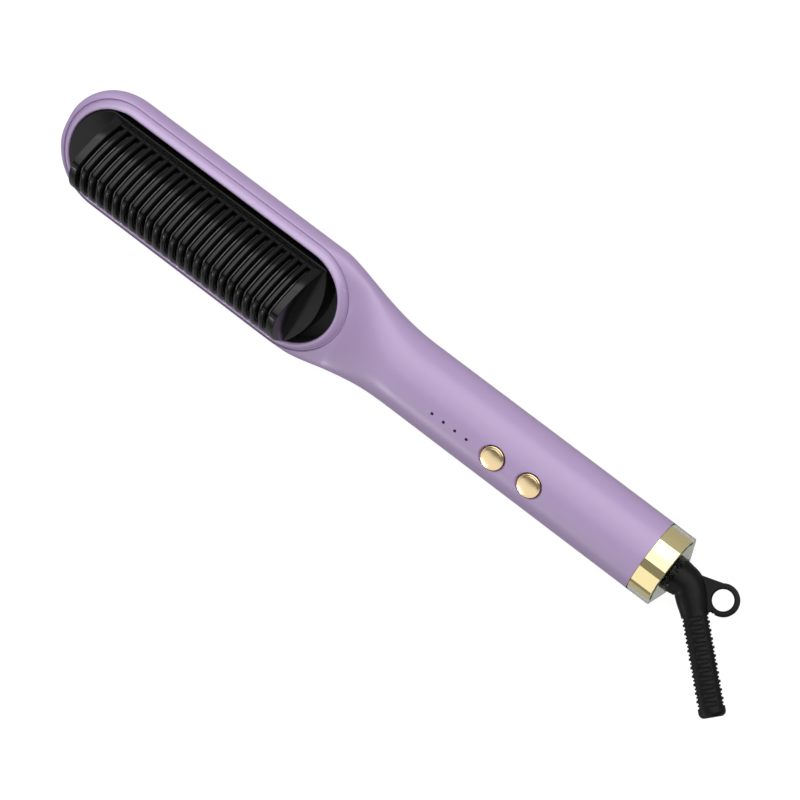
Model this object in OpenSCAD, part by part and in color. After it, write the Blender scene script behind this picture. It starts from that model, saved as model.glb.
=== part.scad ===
// Hot comb: a heated straightening comb with a round handle and a swivelling cord boot.
// Lengths are millimetres. The modules measure X from the head's tip towards the cord end
// and Z from the handle's long axis, with +Z on the comb side. place() then lays the part
// on its back: the origin is the middle of the flat on the back of the head.

/* [Handle] */
// Outside diameter of the round handle
handle_d = 30; // [29:0.5:32]
// Wall of the housing and of the back cover
wall = 2; // [1.7:0.1:2.2]
// Length of the round handle, from the neck to the gold band
handle_l = 111.5; // [109:0.5:125]

/* [Head] */
// Length of the opening that shows the comb
open_l = 127.4; // [112:0.1:130]
// Width of that opening
open_w = 38.6; // [37.6:0.1:41]
// From the head's tip to the opening
tip_margin = 6.2; // [5.8:0.1:7]
// Length over which the tip is rounded in plan
tip_l = 25; // [23:0.5:27]
// Width of the sloping rim trim
rim_w = 3.15; // [2.8:0.05:3.6]
// Groove between the rim trim and the housing
groove_w = 0.4; // [0.3:0.05:0.6]
// Housing outside the groove, up to the widest point
shell_rim = 1.35; // [1.2:0.05:1.8]
// Height of the rim above the handle's axis
rim_z = 7.3; // [6.8:0.1:8]
// Height of the housing's shoulder beside the groove
shoulder_z = 4.65; // [4.4:0.05:4.9]
// Height of the shelf that the rim trim sits on
shelf_z = 3.6; // [3.4:0.1:3.9]
// How much deeper than the handle the head would be if its back had no flat
flat_cut = 0.6; // [0.4:0.1:1.2]
// Length of the neck between head and handle
neck_l = 48; // [42:0.5:50]
// From the end of the opening's straight sides to the start of the neck
neck_start = 7.7; // [5:0.1:10]
// Plane between the housing and the back cover, below the axis
split_depth = 5; // [4.8:0.1:5.6]
// From the opening's straight sides to the end of the back cover
cover_end = 1.4; // [0:0.1:4]
// Seam between the housing and the back cover
seam = 0.15; // [0.1:0.05:0.3]

/* [Comb] */
// Distance from one rib to the next
rib_pitch = 3.985; // [3.7:0.005:4.4]
// Thickness of a rib
rib_t = 2; // [1.7:0.1:2.2]
// Thickness of the two closed ribs at the ends
end_rib = 3.6; // [3.2:0.1:5]
// Depth of a rib, from its outer edge inwards
rib_depth = 6; // [5:0.1:6.2]
// Height of the comb's ridge above the rim
comb_h = 23.2; // [21:0.1:24]
// Place of the ridge, towards +Y from the middle
ridge_y = 0.8; // [0:0.1:1.5]
// Bulge of the near flank
flank_bulge = 3; // [2.5:0.1:3.5]
// Bulge of the far flank
far_bulge = 4.8; // [4:0.1:5]
// Height of the curb that joins the feet of the ribs
curb_h = 3; // [2:0.1:4]
// Gap between the comb's base and the opening along the sides
moat_w = 2; // [1.6:0.1:2.4]
// From the opening's tip end to the comb
comb_start = 13.9; // [13.4:0.1:14.6]
// From the comb to the opening's handle end
comb_stop = 12.3; // [12:0.1:16]
// Thickness of the comb's base plate
base_t = 1.5; // [1.2:0.1:1.7]

/* [Heater] */
// Thickness of a heating fin
fin_t = 1; // [0.8:0.1:1.2]
// Distance of the fins behind the ribs' outer edge
fin_inset = 2; // [1.8:0.1:3]
// Space between the ribs and the heating core
core_gap = 0.4; // [0.3:0.1:0.6]
// Height of the heating core's underside above the axis
core_z = 3; // [2.8:0.1:3.2]
// Thickness of the ceramic heater strip
heater_t = 1.3; // [1:0.1:1.4]
// Thickness of the insulation sheet
sheet_t = 0.5; // [0.4:0.1:0.6]
// Thickness of the clamp plate
clamp_t = 1.5; // [1.2:0.1:1.6]
// Wall of the inner tray
tray_wall = 1.2; // [1:0.05:1.3]
// Depth of the inner tray's floor below the axis
floor_depth = 3; // [2.8:0.1:3.2]

/* [Controls] */
// Diameter of a button
button_d = 9.5; // [9:0.1:10.5]
// Gap round a button in its hole
button_gap = 0.3; // [0.2:0.05:0.4]
// Distance between the two buttons
button_pitch = 17; // [15.5:0.5:18]
// From the first button to the end of the housing
button_back = 67.1; // [62:0.1:69]
// Travel of a button
button_travel = 0.5; // [0.3:0.1:0.5]
// Distance between two indicator lamps
lamp_pitch = 5.36; // [4.8:0.02:5.5]
// From the last lamp to the first button
lamp_gap = 11.9; // [11:0.1:12.5]
// Number of indicator lamps
lamp_count = 4; // [2:1:4]
// Diameter of a light pipe at the surface
lamp_d = 1; // [0.8:0.1:1.4]

/* [Cord end] */
// Length of the gold band
band_l = 9.5; // [8.5:0.1:11]
// Wall of the clear collar over the band
collar_wall = 1.2; // [1:0.05:1.3]
// Length of the collar's tapering end past the band
collar_tip = 3.2; // [2.6:0.1:4]
// Diameter of the swivel journal
journal_d = 15; // [14:0.1:15.4]
// Radial clearance of the journal in its bore
journal_gap = 0.08; // [0.04:0.01:0.1]
// From the end of the band to the bend of the boot
bend_out = 8.6; // [8:0.1:11]
// Angle of the boot's arm to the handle's axis
boot_bend = 42.9; // [30:0.1:50]
// Length of the arm from the bend
arm_l = 49.2; // [46:0.1:56]
// Diameter of the arm
arm_d = 10.2; // [9.8:0.1:11]
// Turn of the boot about the axis, measured from +Y
boot_turn = 151.8; // [100:0.1:180]
// Number of flex slots along each side of the arm
slot_count = 11; // [7:1:11]
// Distance between two slots
slot_pitch = 3.14; // [2.8:0.02:3.16]
// Diameter of the hole for the cord
cord_d = 6.2; // [5:0.1:6.6]
// Diameter of the hanging loop's hole
loop_d = 8.2; // [7:0.1:9]
// Thickness of the hanging loop
loop_t = 3.2; // [2.6:0.1:4]

/* [Hidden] */

$fn = 64;
fit = 0.1;            // clearance of a piece that is pushed into another
cut = 1;              // how far a cutting shape runs past a face
handle_r = handle_d / 2;
tube_r = handle_r - wall;

// Head in plan: the opening, the groove and the shell are one stadium at three radii
open_r = open_w / 2;
shoulder_r = open_r + rim_w + groove_w;
shell_r = shoulder_r + shell_rim;
tip_c = tip_margin + open_r;
end_c = tip_margin + open_l - open_r;
groove_end = end_c + shoulder_r;
neck_x0 = end_c + neck_start;
neck_x1 = neck_x0 + neck_l;
housing_l = neck_x1 + handle_l;
cover_x = end_c + cover_end;
head_deep = handle_r + flat_cut;
rest_x = (tip_c + end_c) / 2;
skirt_r = shoulder_r - 0.75;      // outside of the rim trim's skirt
skirt_t = 1.25;
skirt_depth = 0.2;                // how far the skirt reaches below the axis
rim_lip = 1.4;                    // thickness of the rim trim at the opening's edge

// Comb: its base plate, its ribs and the outline of its cross-section
base_half = open_r - moat_w;
near_y = base_half - 0.5;
far_y = base_half - 0.6;
pad_gap = 0.4;
end_sag = 5.4;
end_arc_r = (pow(base_half, 2) + pow(end_sag, 2)) / (2 * end_sag);
base_end = tip_margin + open_l - 6.6;
comb_x0 = tip_margin + comb_start;
comb_room = open_l - comb_start - comb_stop;
gap_w = rib_pitch - rib_t;
gap_count = floor((comb_room - 2 * end_rib + rib_t) / rib_pitch);
comb_l = 2 * end_rib + gap_count * rib_pitch - rib_t;
comb_x1 = comb_x0 + comb_l;
end_wall = 1.7;                   // closed wall of an end rib
curb_in = 0.3;                    // curb behind the ribs' outer edge
curb_t = fin_inset - curb_in - 0.6;
near_arc = flank(near_y - ridge_y, flank_bulge);
far_arc = flank(far_y + ridge_y, far_bulge);

// A flank's arc, from the ridge down to a foot that lies run to the side of it:
// [radius, centre to the side of the ridge, centre above the rim]
function flank(run, bulge) = let (
        long = norm([run, comb_h]),
        r = (pow(long / 2, 2) + pow(bulge, 2)) / (2 * bulge))
    [r, run / 2 - (r - bulge) * comb_h / long, comb_h / 2 - (r - bulge) * run / long];

// Heater stack, from the core's underside down to the tray
tray_r = open_r - 0.1;
tray_out = tray_r + tray_wall;
tray_top = rim_z - rim_lip;
floor_t = 1.5;
heater_w = 8;
heater_x0 = comb_x0 + 19;
heater_x1 = comb_x1 - 21;
heater_top = core_z;
sheet_top = heater_top - heater_t;
clamp_top = sheet_top - sheet_t;
clamp_z = clamp_top - clamp_t;
clamp_w = 12;
clamp_over = 7;                   // clamp past the heater strip at each end
flange_half = base_half - 2.8;
flange_t = 2.4;
screw_in = 3.5;                   // clamp screw from the heater strip's end
comb_screw_x = [comb_x0 - 5, comb_x1 + 2.8];
cover_screw_x = [tip_c - 1.5, end_c - 10];
cover_screw_y = 10.5;
boss_z = -floor_depth - floor_t - 4.5;

// Controls, from the handle's surface down to the circuit board
button_r = button_d / 2;
hole_r = button_r + button_gap;
button_x = [housing_l - button_back, housing_l - button_back + button_pitch];
button_top = handle_r + 0.4;
dome_h = 0.7;
flange_r = hole_r + 0.85;
flange_low = handle_r - 4.7;
stem_r = 1.6;
stem_low = flange_low - 1.2;
stem_fit = 0.08;
plunger_r = stem_r;
plunger_low = stem_low - 2.7;
guide_top = flange_low - button_travel - 0.2;
guide_t = 1.2;
board_top = stem_low - 4.5;
board_t = 1.6;
board_half = 8.5;
carrier_r = tube_r - 0.2;
channel_half = 7.6;
switch_w = 6.2;
switch_h = 3.5;
lamp_x = [for (i = [0 : lamp_count - 1])
    button_x[0] - lamp_gap - lamp_pitch * (lamp_count - 1 - i)];
board_x0 = lamp_x[0] - 8.42;
board_x1 = button_x[1] + 26.6;
bar_low = handle_r - 3.8;
leg_r = 0.8;
board_screw_x = [board_x0 + 3.2, board_x1 - 3.5];

// Cord end
band_x1 = housing_l + band_l;
collar_in = handle_r - collar_wall;
band_r = collar_in - 0.05;
band_t = 1.25;
plug_x0 = housing_l - 19.5;
cavity_r = journal_d / 2 + 2.4;
journal_r = journal_d / 2;
shoulder_x = housing_l + 2.5;
hub_t = 2.2;
hub_x0 = shoulder_x - 0.2 - hub_t;
tail_r = 4.4;
tail_x0 = housing_l - 13.5;
lead_r = 2.6;
retainer_t = 2.1;
retainer_x = hub_x0 - 0.3 - retainer_t;
ring_x = [tail_x0 + 2, tail_x0 + 6];
boot_x0 = band_x1 + 0.4;
neck_r = journal_r - 0.2;
bend_x = band_x1 + bend_out;
bend_r = neck_r - 1;
arm_r = arm_d / 2;
taper_l = 11;
slot_x0 = 12.9;
slot_w = 5.6;
slot_t = 1.4;
slot_deep = 0.9;
loop_c = [13.2, -3];
loop_out = loop_d / 2 + 2.2;
cord_deep = arm_l - taper_l;

// ---- shapes that several pieces share ----

module place() {
    translate([-rest_x, 0, handle_r]) children();
}

// Extrudes a drawing in the Y-Z plane along X, from x for a length l
module along_x(x, l) {
    translate([x, 0, 0]) rotate([90, 0, 90]) linear_extrude(l) children();
}

// A round bar along X
module bar_x(x, l, r) {
    translate([x, 0, 0]) rotate([0, 90, 0]) cylinder(h = l, r = r);
}

// A round bar along X with a hole through it
module ring_x_axis(x, l, r_out, r_in) {
    difference() {
        bar_x(x, l, r_out);
        bar_x(x - cut, l + 2 * cut, r_in);
    }
}

// A bar along X that changes from one radius to another
module cone_x(x, l, r0, r1) {
    translate([x, 0, 0]) rotate([0, 90, 0]) rotate_extrude()
        polygon([[0, 0], [r0, 0], [r1, l], [0, l]]);
}

module pillar(x, y, z0, z1, r) {
    translate([x, y, z0]) cylinder(h = z1 - z0, r = r);
}

module block(x0, x1, y0, y1, z0, z1) {
    translate([x0, y0, z0]) cube([x1 - x0, y1 - y0, z1 - z0]);
}

// The opening's plan at another radius
module stadium(r) {
    translate([tip_c, 0]) circle(r);
    translate([end_c, 0]) circle(r);
    translate([tip_c, -r]) square([end_c - tip_c, 2 * r]);
}

// The plan of the comb's base plate, drawn smaller by inset
module base_plan(inset) {
    half = base_half - inset;
    arc_x = base_end - end_arc_r;
    intersection() {
        translate([0, -half]) square([base_end, 2 * half]);
        union() {
            translate([tip_c, 0]) circle(tray_r + 0.1 - pad_gap - inset);
            translate([tip_c, -half]) square([base_end - tip_c, 2 * half]);
        }
        union() {
            translate([arc_x, 0]) circle(end_arc_r - inset, $fn = 128);
            translate([0, -half]) square([arc_x, 2 * half]);
        }
    }
}

// A wire laid through a list of points
module wire(points, r) {
    for (i = [0 : len(points) - 2]) {
        step = points[i + 1] - points[i];
        translate(points[i])
            rotate([0, acos(step[2] / norm(step)), atan2(step[1], step[0])])
                cylinder(h = norm(step), r = r, $fn = 20);
        if (i > 0) translate(points[i]) sphere(r * 1.04, $fn = 20);
    }
}

// A screw that points up, with its head below z
module screw(x, y, z, l, r, head_r, head_h) {
    pillar(x, y, z - head_h, z, head_r);
    pillar(x, y, z, z + l, r);
}

// ---- the head and neck as a stack of cross-sections ----

function ease(u) = u * u * (3 - 2 * u);

// Roundness of the tip, 0 at its end and 1 where the head is full; t is a wall inwards
function tip_share(x, t, n) = x >= tip_l ? 1
    : pow(max(0, 1 - pow((tip_l - x) / (tip_l - t), n)), 1 / n);

function neck_share(x) = pow(cos(90 * pow((x - neck_x0) / neck_l, 0.75)), 2);

// The loft ends just inside the handle's tube outside and just outside its bore inside
function end_r(t) = t == 0 ? handle_r - 0.02 : handle_r - t + 0.06;

function half_w(x, t) = x < neck_x0 ? (shell_r - t) * tip_share(x, t, 2.15)
    : end_r(t) + (shell_r - t - end_r(t)) * (x < neck_x1 ? neck_share(x) : 0);

function deep(x, t) = x < neck_x0 ? (head_deep - t) * tip_share(x, t, 2.3)
    : head_deep - t + (end_r(t) - head_deep + t) * (x < neck_x1 ? ease((x - neck_x0) / neck_l) : 1);

function groove_y(x) = x < tip_c ? sqrt(max(0, pow(shoulder_r, 2) - pow(tip_c - x, 2)))
    : x > end_c ? sqrt(max(0, pow(shoulder_r, 2) - pow(x - end_c, 2)))
    : shoulder_r;

// Height of the front, so that the section passes through the shoulder beside the groove
function tall(x) = x < tip_c - shoulder_r
        ? shoulder_z * sqrt(max(0, 1 - pow(1 - x / (tip_c - shoulder_r), 2)))
    : x <= groove_end
        ? shoulder_z / pow(1 - pow(groove_y(x) / half_w(x, 0), 3), 1 / 3)
    : shoulder_z + (handle_r - shoulder_z) * (x < neck_x1 ? rise(x) : 1);

// The front rises quickly beyond the groove, then runs gently into the handle
function rise(x) = ease(pow((x - groove_end) / (neck_x1 - groove_end), 0.55));

function front_n(x) = x <= groove_end ? 3 : x < neck_x1 ? 2 + pow(1 - rise(x), 3) : 2;

function tall_at(x, t) = x <= groove_end
    ? (t == 0 ? tall(x) : max(0.6, tall(x) - t) * sqrt(tip_share(x, t, 2)))
    : tall(x) + end_r(t) - handle_r;

// One cross-section: a squarish arch in front, half an ellipse with a flat behind
function section(x, t) = [for (k = [0 : sides - 1]) let (a = 360 * k / sides)
    sin(a) >= -0.0001
        ? [x, half_w(x, t) * sign(cos(a)) * pow(abs(cos(a)), 2 / front_n(x)),
            tall_at(x, t) * pow(abs(sin(a)), 2 / front_n(x))]
        : [x, half_w(x, t) * cos(a), max(deep(x, t) * sin(a), t - handle_r)]];

sides = 48;
rings = concat(
    [for (i = [1 : 9]) 1 - cos(10 * i)],
    [for (i = [1 : 8]) i / 8],
    [for (i = [1 : 9]) pow(i / 9, 1.4)]);

// Where the sections lie: nine round the tip, eight round the opening's end, nine in the neck
function ring_at(i, t) = i < 9 ? t + (tip_l - t) * rings[i]
    : i == 9 ? tip_c
    : i == 10 ? end_c
    : i < 19 ? end_c + shoulder_r * rings[i - 2]
    : groove_end + (neck_x1 - groove_end) * rings[i - 2];

// A closed loft of the head and neck, t inside the outer surface, with its flat end moved out
module head_loft(t, end_over) {
    sections = [for (i = [0 : 27]) section(ring_at(i, t), t)];
    last = [for (p = section(neck_x1, t)) p + [end_over, 0, 0]];
    all = end_over > 0 ? concat(sections, [last]) : sections;
    n = len(all);
    points = concat([[t, 0, 0]], [for (s = all) for (p = s) p]);
    faces = concat(
        [for (k = [0 : sides - 1]) [0, 1 + k, 1 + (k + 1) % sides]],
        [for (i = [0 : n - 2]) for (k = [0 : sides - 1])
            [1 + i * sides + k, 1 + (i + 1) * sides + k, 1 + (i + 1) * sides + (k + 1) % sides]],
        [for (i = [0 : n - 2]) for (k = [0 : sides - 1])
            [1 + i * sides + k, 1 + (i + 1) * sides + (k + 1) % sides, 1 + i * sides + (k + 1) % sides]],
        [[for (k = [sides - 1 : -1 : 0]) 1 + (n - 1) * sides + k]]);
    polyhedron(points, faces);
}

module head_shell() {
    difference() {
        head_loft(0, 0);
        head_loft(wall, cut);
        translate([0, 0, -skirt_depth - 1.3]) linear_extrude(4 * rim_z) stadium(skirt_r + 0.05);
        translate([0, 0, shelf_z]) linear_extrude(4 * rim_z) stadium(shoulder_r);
    }
}

// ---- the comb's cross-section, drawn smaller by e and cut off at height z0 ----

// Distance of a flank from the ridge, to the side, at height z
function flank_at(arc, e, z) = arc[1] + sqrt(pow(arc[0] - e, 2) - pow(z - arc[2], 2));

// Angle at which a flank's arc passes height z
function flank_angle(arc, e, z) = asin((z - arc[2]) / (arc[0] - e));

function flank_point(arc, e, a) =
    [arc[1] + (arc[0] - e) * cos(a), arc[2] + (arc[0] - e) * sin(a)];

// The ridge: where the two arcs cross, as [towards +Y, height] from the full ridge
function ridge(e) = let (
        p = [near_arc[1], near_arc[2]],
        q = [-far_arc[1], far_arc[2]],
        d = norm(q - p),
        u = (q - p) / d,
        along = (pow(d, 2) + pow(near_arc[0] - e, 2) - pow(far_arc[0] - e, 2)) / (2 * d))
    p + along * u + sqrt(pow(near_arc[0] - e, 2) - pow(along, 2)) * [-u[1], u[0]];

function comb_outline(e, z0) = let (
        top = ridge(e),
        a0 = flank_angle(near_arc, e, z0),
        a1 = flank_angle(near_arc, e, top[1]),
        b1 = flank_angle(far_arc, e, top[1]),
        b0 = flank_angle(far_arc, e, z0))
    concat(
        [for (i = [0 : 9]) let (p = flank_point(near_arc, e, a0 + (a1 - a0) * i / 9))
            [ridge_y + p[0], p[1]]],
        [for (i = [1 : 9]) let (p = flank_point(far_arc, e, b1 + (b0 - b1) * i / 9))
            [ridge_y - p[0], p[1]]]);

module comb_slice(x, l, e, z0) {
    translate([0, 0, rim_z]) along_x(x, l) polygon(comb_outline(e, z0));
}

// ---- the pieces ----

module main_housing() color("#b79fd0") place() {
    difference() {
        head_shell();
        block(-cut, cover_x, -shell_r - cut, shell_r + cut, -handle_r - cut, -split_depth);
    }
    difference() {
        ring_x_axis(neck_x1, housing_l - neck_x1, handle_r, tube_r);
        for (x = button_x) pillar(x, 0, 0, handle_r + cut, hole_r);
        for (x = lamp_x) pillar(x, 0, 0, handle_r + cut, lamp_d / 2 + 0.05);
    }
}

module back_cover() color("#b79fd0") place() {
    difference() {
        intersection() {
            difference() {
                head_loft(0, 0);
                head_loft(wall, cut);
            }
            block(0, cover_x - seam, -shell_r, shell_r, -handle_r, -split_depth - seam);
        }
        for (x = cover_screw_x) for (s = [-1, 1])
            pillar(x, s * cover_screw_y, -handle_r - cut, 0, 2.6);
    }
    for (x = cover_screw_x) for (s = [-1, 1]) difference() {
        pillar(x, s * cover_screw_y, -handle_r + wall, boss_z, 3.4);
        pillar(x, s * cover_screw_y, -handle_r, 0, 1.4);
        pillar(x, s * cover_screw_y, -handle_r, -handle_r + wall + 1.2, 2.6);
    }
}

// Cross-section of the rim trim, as distance from the stadium's middle line and height
function rim_points() = [
    [open_r, rim_z - rim_lip], [open_r, rim_z - 0.35], [open_r + 0.35, rim_z],
    [open_r + 0.9, rim_z - 0.05], [open_r + rim_w - 0.25, shelf_z + 1.2],
    [open_r + rim_w, shelf_z + 0.7], [open_r + rim_w, shelf_z], [skirt_r, shelf_z],
    [skirt_r, -skirt_depth], [skirt_r - skirt_t, -skirt_depth],
    [skirt_r - skirt_t, tray_top - 0.8], [tray_out + 0.05, tray_top]];

module rim_trim() color("#bda6d6") place() {
    translate([tip_c, 0, 0]) rotate([0, 0, 90])
        rotate_extrude(angle = 180) polygon(rim_points());
    translate([end_c, 0, 0]) rotate([0, 0, -90])
        rotate_extrude(angle = 180) polygon(rim_points());
    along_x(tip_c, end_c - tip_c) polygon(rim_points());
    mirror([0, 1, 0]) along_x(tip_c, end_c - tip_c) polygon(rim_points());
}

module comb_rib(x, l) {
    difference() {
        comb_slice(x, l, 0, 0);
        comb_slice(x - cut, l + 2 * cut, rib_depth, -cut);
    }
}

// Cross-section of the curb at the foot of a flank
function curb_points(arc, side) = [for (p = [
        [flank_at(arc, curb_in, 0), -0.2], [flank_at(arc, curb_in, curb_h), curb_h],
        [flank_at(arc, curb_in, curb_h) - curb_t, curb_h],
        [flank_at(arc, curb_in, 0) - curb_t, -0.2]])
    [ridge_y + side * p[0], p[1]]];

module comb_guard() color("#1c1c1e") place() {
    window_y0 = -far_y + 2.5;
    window_y1 = near_y - 2.5;
    difference() {
        translate([0, 0, rim_z - base_t]) linear_extrude(base_t) base_plan(0);
        block(comb_x0 + end_wall, comb_x1 - end_wall, window_y0, window_y1, 0, rim_z + cut);
    }
    translate([0, 0, -floor_depth]) linear_extrude(rim_z - base_t + floor_depth) difference() {
        base_plan(0);
        base_plan(1.2);
    }
    for (i = [1 : gap_count - 1])
        comb_rib(comb_x0 + end_rib - rib_t + i * rib_pitch, rib_t);
    comb_slice(comb_x0, end_wall, 0, 0);
    comb_rib(comb_x0 + end_wall, end_rib - end_wall);
    comb_slice(comb_x1 - end_wall, end_wall, 0, 0);
    comb_rib(comb_x1 - end_rib, end_rib - end_wall);
    translate([0, 0, rim_z]) along_x(comb_x0 + end_wall, comb_l - 2 * end_wall) {
        polygon(curb_points(near_arc, 1));
        polygon(curb_points(far_arc, -1));
    }
    for (x = comb_screw_x) difference() {
        pillar(x, 0, -floor_depth, rim_z - base_t, 2.6);
        pillar(x, 0, -floor_depth - cut, core_z, 1);
    }
}

module heating_plate() color("#242528") place() {
    core_e = rib_depth + core_gap;
    core_x0 = comb_x0 + end_wall + 0.5;
    core_x1 = comb_x1 - end_wall - 0.5;
    difference() {
        union() {
            comb_slice(core_x0, core_x1 - core_x0, core_e, core_z - rim_z);
            block(core_x0, core_x1, -flange_half, flange_half, core_z, core_z + flange_t);
            for (i = [0 : gap_count - 1])
                comb_slice(comb_x0 + end_rib + gap_w / 2 + i * rib_pitch - fin_t / 2, fin_t,
                    fin_inset, 0.2);
        }
        for (x = [heater_x0 - screw_in, heater_x1 + screw_in])
            pillar(x, 0, core_z - cut, core_z + 5, 1.2);
    }
}

module heater_element() color("#d8d4c8") place()
    block(heater_x0, heater_x1, -heater_w / 2, heater_w / 2, sheet_top, heater_top);

module insulation_sheet() color("#c08a3a") place()
    block(heater_x0, heater_x1, -clamp_w / 2 + 0.5, clamp_w / 2 - 0.5, clamp_top, sheet_top);

module heater_clamp() color("#a9abad") place() {
    difference() {
        block(heater_x0 - clamp_over, heater_x1 + clamp_over, -clamp_w / 2, clamp_w / 2,
            clamp_z, clamp_top);
        for (x = [heater_x0 - screw_in, heater_x1 + screw_in])
            pillar(x, 0, clamp_z - cut, clamp_top + cut, 1.35);
    }
}

module heater_screws() color("#8f9194") place()
    for (x = [heater_x0 - screw_in, heater_x1 + screw_in])
        screw(x, 0, clamp_z, core_z + 4 - clamp_z, 1.2, 2.2, 1.2);

module inner_tray() color("#151515") place() {
    low = -floor_depth - floor_t;
    difference() {
        union() {
            translate([0, 0, low]) linear_extrude(tray_top - low) stadium(tray_out);
            translate([0, 0, -skirt_depth - 1.2]) linear_extrude(1.2) stadium(skirt_r);
            for (x = cover_screw_x) for (s = [-1, 1])
                pillar(x, s * cover_screw_y, boss_z, low, 3);
        }
        translate([0, 0, -floor_depth]) linear_extrude(tray_top + floor_depth + cut)
            stadium(tray_r);
        for (x = comb_screw_x) pillar(x, 0, low - cut, 0, 1.1);
        for (x = cover_screw_x) for (s = [-1, 1])
            pillar(x, s * cover_screw_y, boss_z - cut, -floor_depth - 0.6, 1.25);
        for (s = [-1, 1]) pillar(riser_x, s * wire_y, low - cut, 0, 1.1);
        pillar(sensor_riser_x, sensor_lead_y, low - cut, 0, 1.1);
    }
    for (x = [heater_x0 + 8, heater_x1 - 8]) for (s = [-1, 1])
        pillar(x, s * (clamp_w / 2 - 2.5), -floor_depth, clamp_z, 2.2);
}

// Sensors lie against the core's underside, beside the clamp
sensor_y = clamp_w / 2 + 1.2;
sensor_lead_y = clamp_w / 2 + 0.85;
sensor_r = 1.1;
fuse_r = 1.9;
fuse_y = -clamp_w / 2 - 2.2;
sensor_x = heater_x1 - 12;
sensor_l = 5;
fuse_l = 12;

module thermistor() color("#3a3a3a") place()
    translate([0, sensor_y, core_z - sensor_r]) bar_x(sensor_x, sensor_l, sensor_r);

module thermal_fuse() color("#c9c9c4") place()
    translate([(heater_x0 + heater_x1 - fuse_l) / 2, fuse_y, core_z - fuse_r])
        bar_x(0, fuse_l, fuse_r);

// Leads leave the tray through its floor, run under it and rise to the board in the handle
lead_t = 0.6;                     // radius of a heater lead
wire_y = 3;
riser_x = comb_x1 - 9;
sensor_riser_x = sensor_x + sensor_l + 5;
run_z = -floor_depth - floor_t - 2.5;
solder_x = board_x0 + 1.2;
under_board = board_top - board_t;

// The way of a lead from x, at y and height z, over its riser to the solder joint
function lead_path(x, y, z, riser) = [
    [x, y, z], [riser, y, z], [riser, y, run_z], [solder_x, y, run_z],
    [solder_x, y, under_board - 0.05]];

module heater_wires() color("#b33a2e") place()
    for (s = [-1, 1])
        wire(lead_path(heater_x1 + 0.1, s * wire_y, sheet_top + 0.45, riser_x), lead_t);

module sensor_wires() color("#e6e2d6") place()
    wire(lead_path(sensor_x + sensor_l, sensor_lead_y, core_z - sensor_r, sensor_riser_x), 0.5);

module comb_screws() color("#8f9194") place()
    for (x = comb_screw_x) screw(x, 0, -floor_depth - floor_t, floor_t + 4.5, 1, 1.9, 1.2);

module cover_screws() color("#8f9194") place()
    for (x = cover_screw_x) for (s = [-1, 1])
        screw(x, s * cover_screw_y, -handle_r + wall + 1.2, 8, 1.25, 2.35, 1.4);

module board_carrier() color("#e4e2dc") place() {
    difference() {
        intersection() {
            bar_x(board_x0 + 1, board_x1 - board_x0 - 2, carrier_r);
            block(board_x0, board_x1, -handle_r, handle_r, 0, guide_top);
        }
        block(board_x0, board_x1, -channel_half, channel_half, -cut, guide_top - guide_t);
        block(board_x0, board_x1, -board_half - 0.1, board_half + 0.1,
            board_top - board_t - 0.05, board_top + 0.05);
        for (x = button_x) pillar(x, 0, 0, handle_r, stem_r + stem_fit);
        for (x = lamp_x) pillar(x, 0, 0, handle_r, leg_r + 0.3);
    }
    for (x = board_screw_x) difference() {
        pillar(x, 0, board_top, guide_top - guide_t, 2.2);
        pillar(x, 0, board_top - cut, guide_top - guide_t - 0.5, 1);
    }
}

module circuit_board() color("#2f6b3a") place() {
    difference() {
        block(board_x0, board_x1, -board_half, board_half, board_top - board_t, board_top);
        for (x = board_screw_x) pillar(x, 0, 0, board_top + cut, 1.1);
    }
}

// Under the board, one after the other: a coil, a relay, a converter and a capacitor
part_gap = 3;
coil_x = lamp_x[0] + 1;
coil_l = 14;
coil_r = 4;
relay_x = coil_x + coil_l + part_gap;
relay_l = 14;
converter_x = relay_x + relay_l + part_gap;
converter_l = 9;
capacitor_r = 4.3;
capacitor_x = converter_x + converter_l + part_gap + capacitor_r;

module board_components() color("#33363b") place() {
    translate([0, 0, under_board - coil_r]) bar_x(coil_x, coil_l, coil_r);
    block(relay_x, relay_x + relay_l, -4, 4, under_board - 7, under_board);
    block(converter_x, converter_x + converter_l, -4.5, 4.5, under_board - 6, under_board);
    pillar(capacitor_x, 0, under_board - 6.5, under_board, capacitor_r);
    for (s = [-1, 1]) translate([0, s * 6.3, under_board - 1]) bar_x(relay_x + part_gap, 6, 1);
}

module board_screws() color("#8f9194") place()
    for (x = board_screw_x)
        screw(x, 0, under_board, board_t + 3, 1, 1.9, 1.2);

module led_lamps() color("#d9d2a0") place()
    for (x = lamp_x) block(x - 0.8, x + 0.8, -0.4, 0.4, board_top, board_top + 0.7);

module light_guide() color("#3d3850") place() {
    block(lamp_x[0] - 1, lamp_x[lamp_count - 1] + 1, -1.4, 1.4, bar_low, bar_low + 1);
    for (x = lamp_x) {
        pillar(x, 0, board_top + 1, bar_low, leg_r);
        pillar(x, 0, bar_low + 1, handle_r - 0.02, lamp_d / 2);
    }
}

module switch_body(x) {
    difference() {
        block(x - switch_w / 2, x + switch_w / 2, -switch_w / 2, switch_w / 2,
            board_top, board_top + switch_h);
        pillar(x, 0, plunger_low - button_travel - 0.3, board_top + switch_h + cut,
            plunger_r + stem_fit);
    }
}

module power_switch() color("#26282b") place() switch_body(button_x[0]);

module temperature_switch() color("#26282b") place() switch_body(button_x[1]);

module power_plunger() color("#c8c4ba") place()
    pillar(button_x[0], 0, plunger_low, stem_low, plunger_r);

module temperature_plunger() color("#c8c4ba") place()
    pillar(button_x[1], 0, plunger_low, stem_low, plunger_r);

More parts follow.
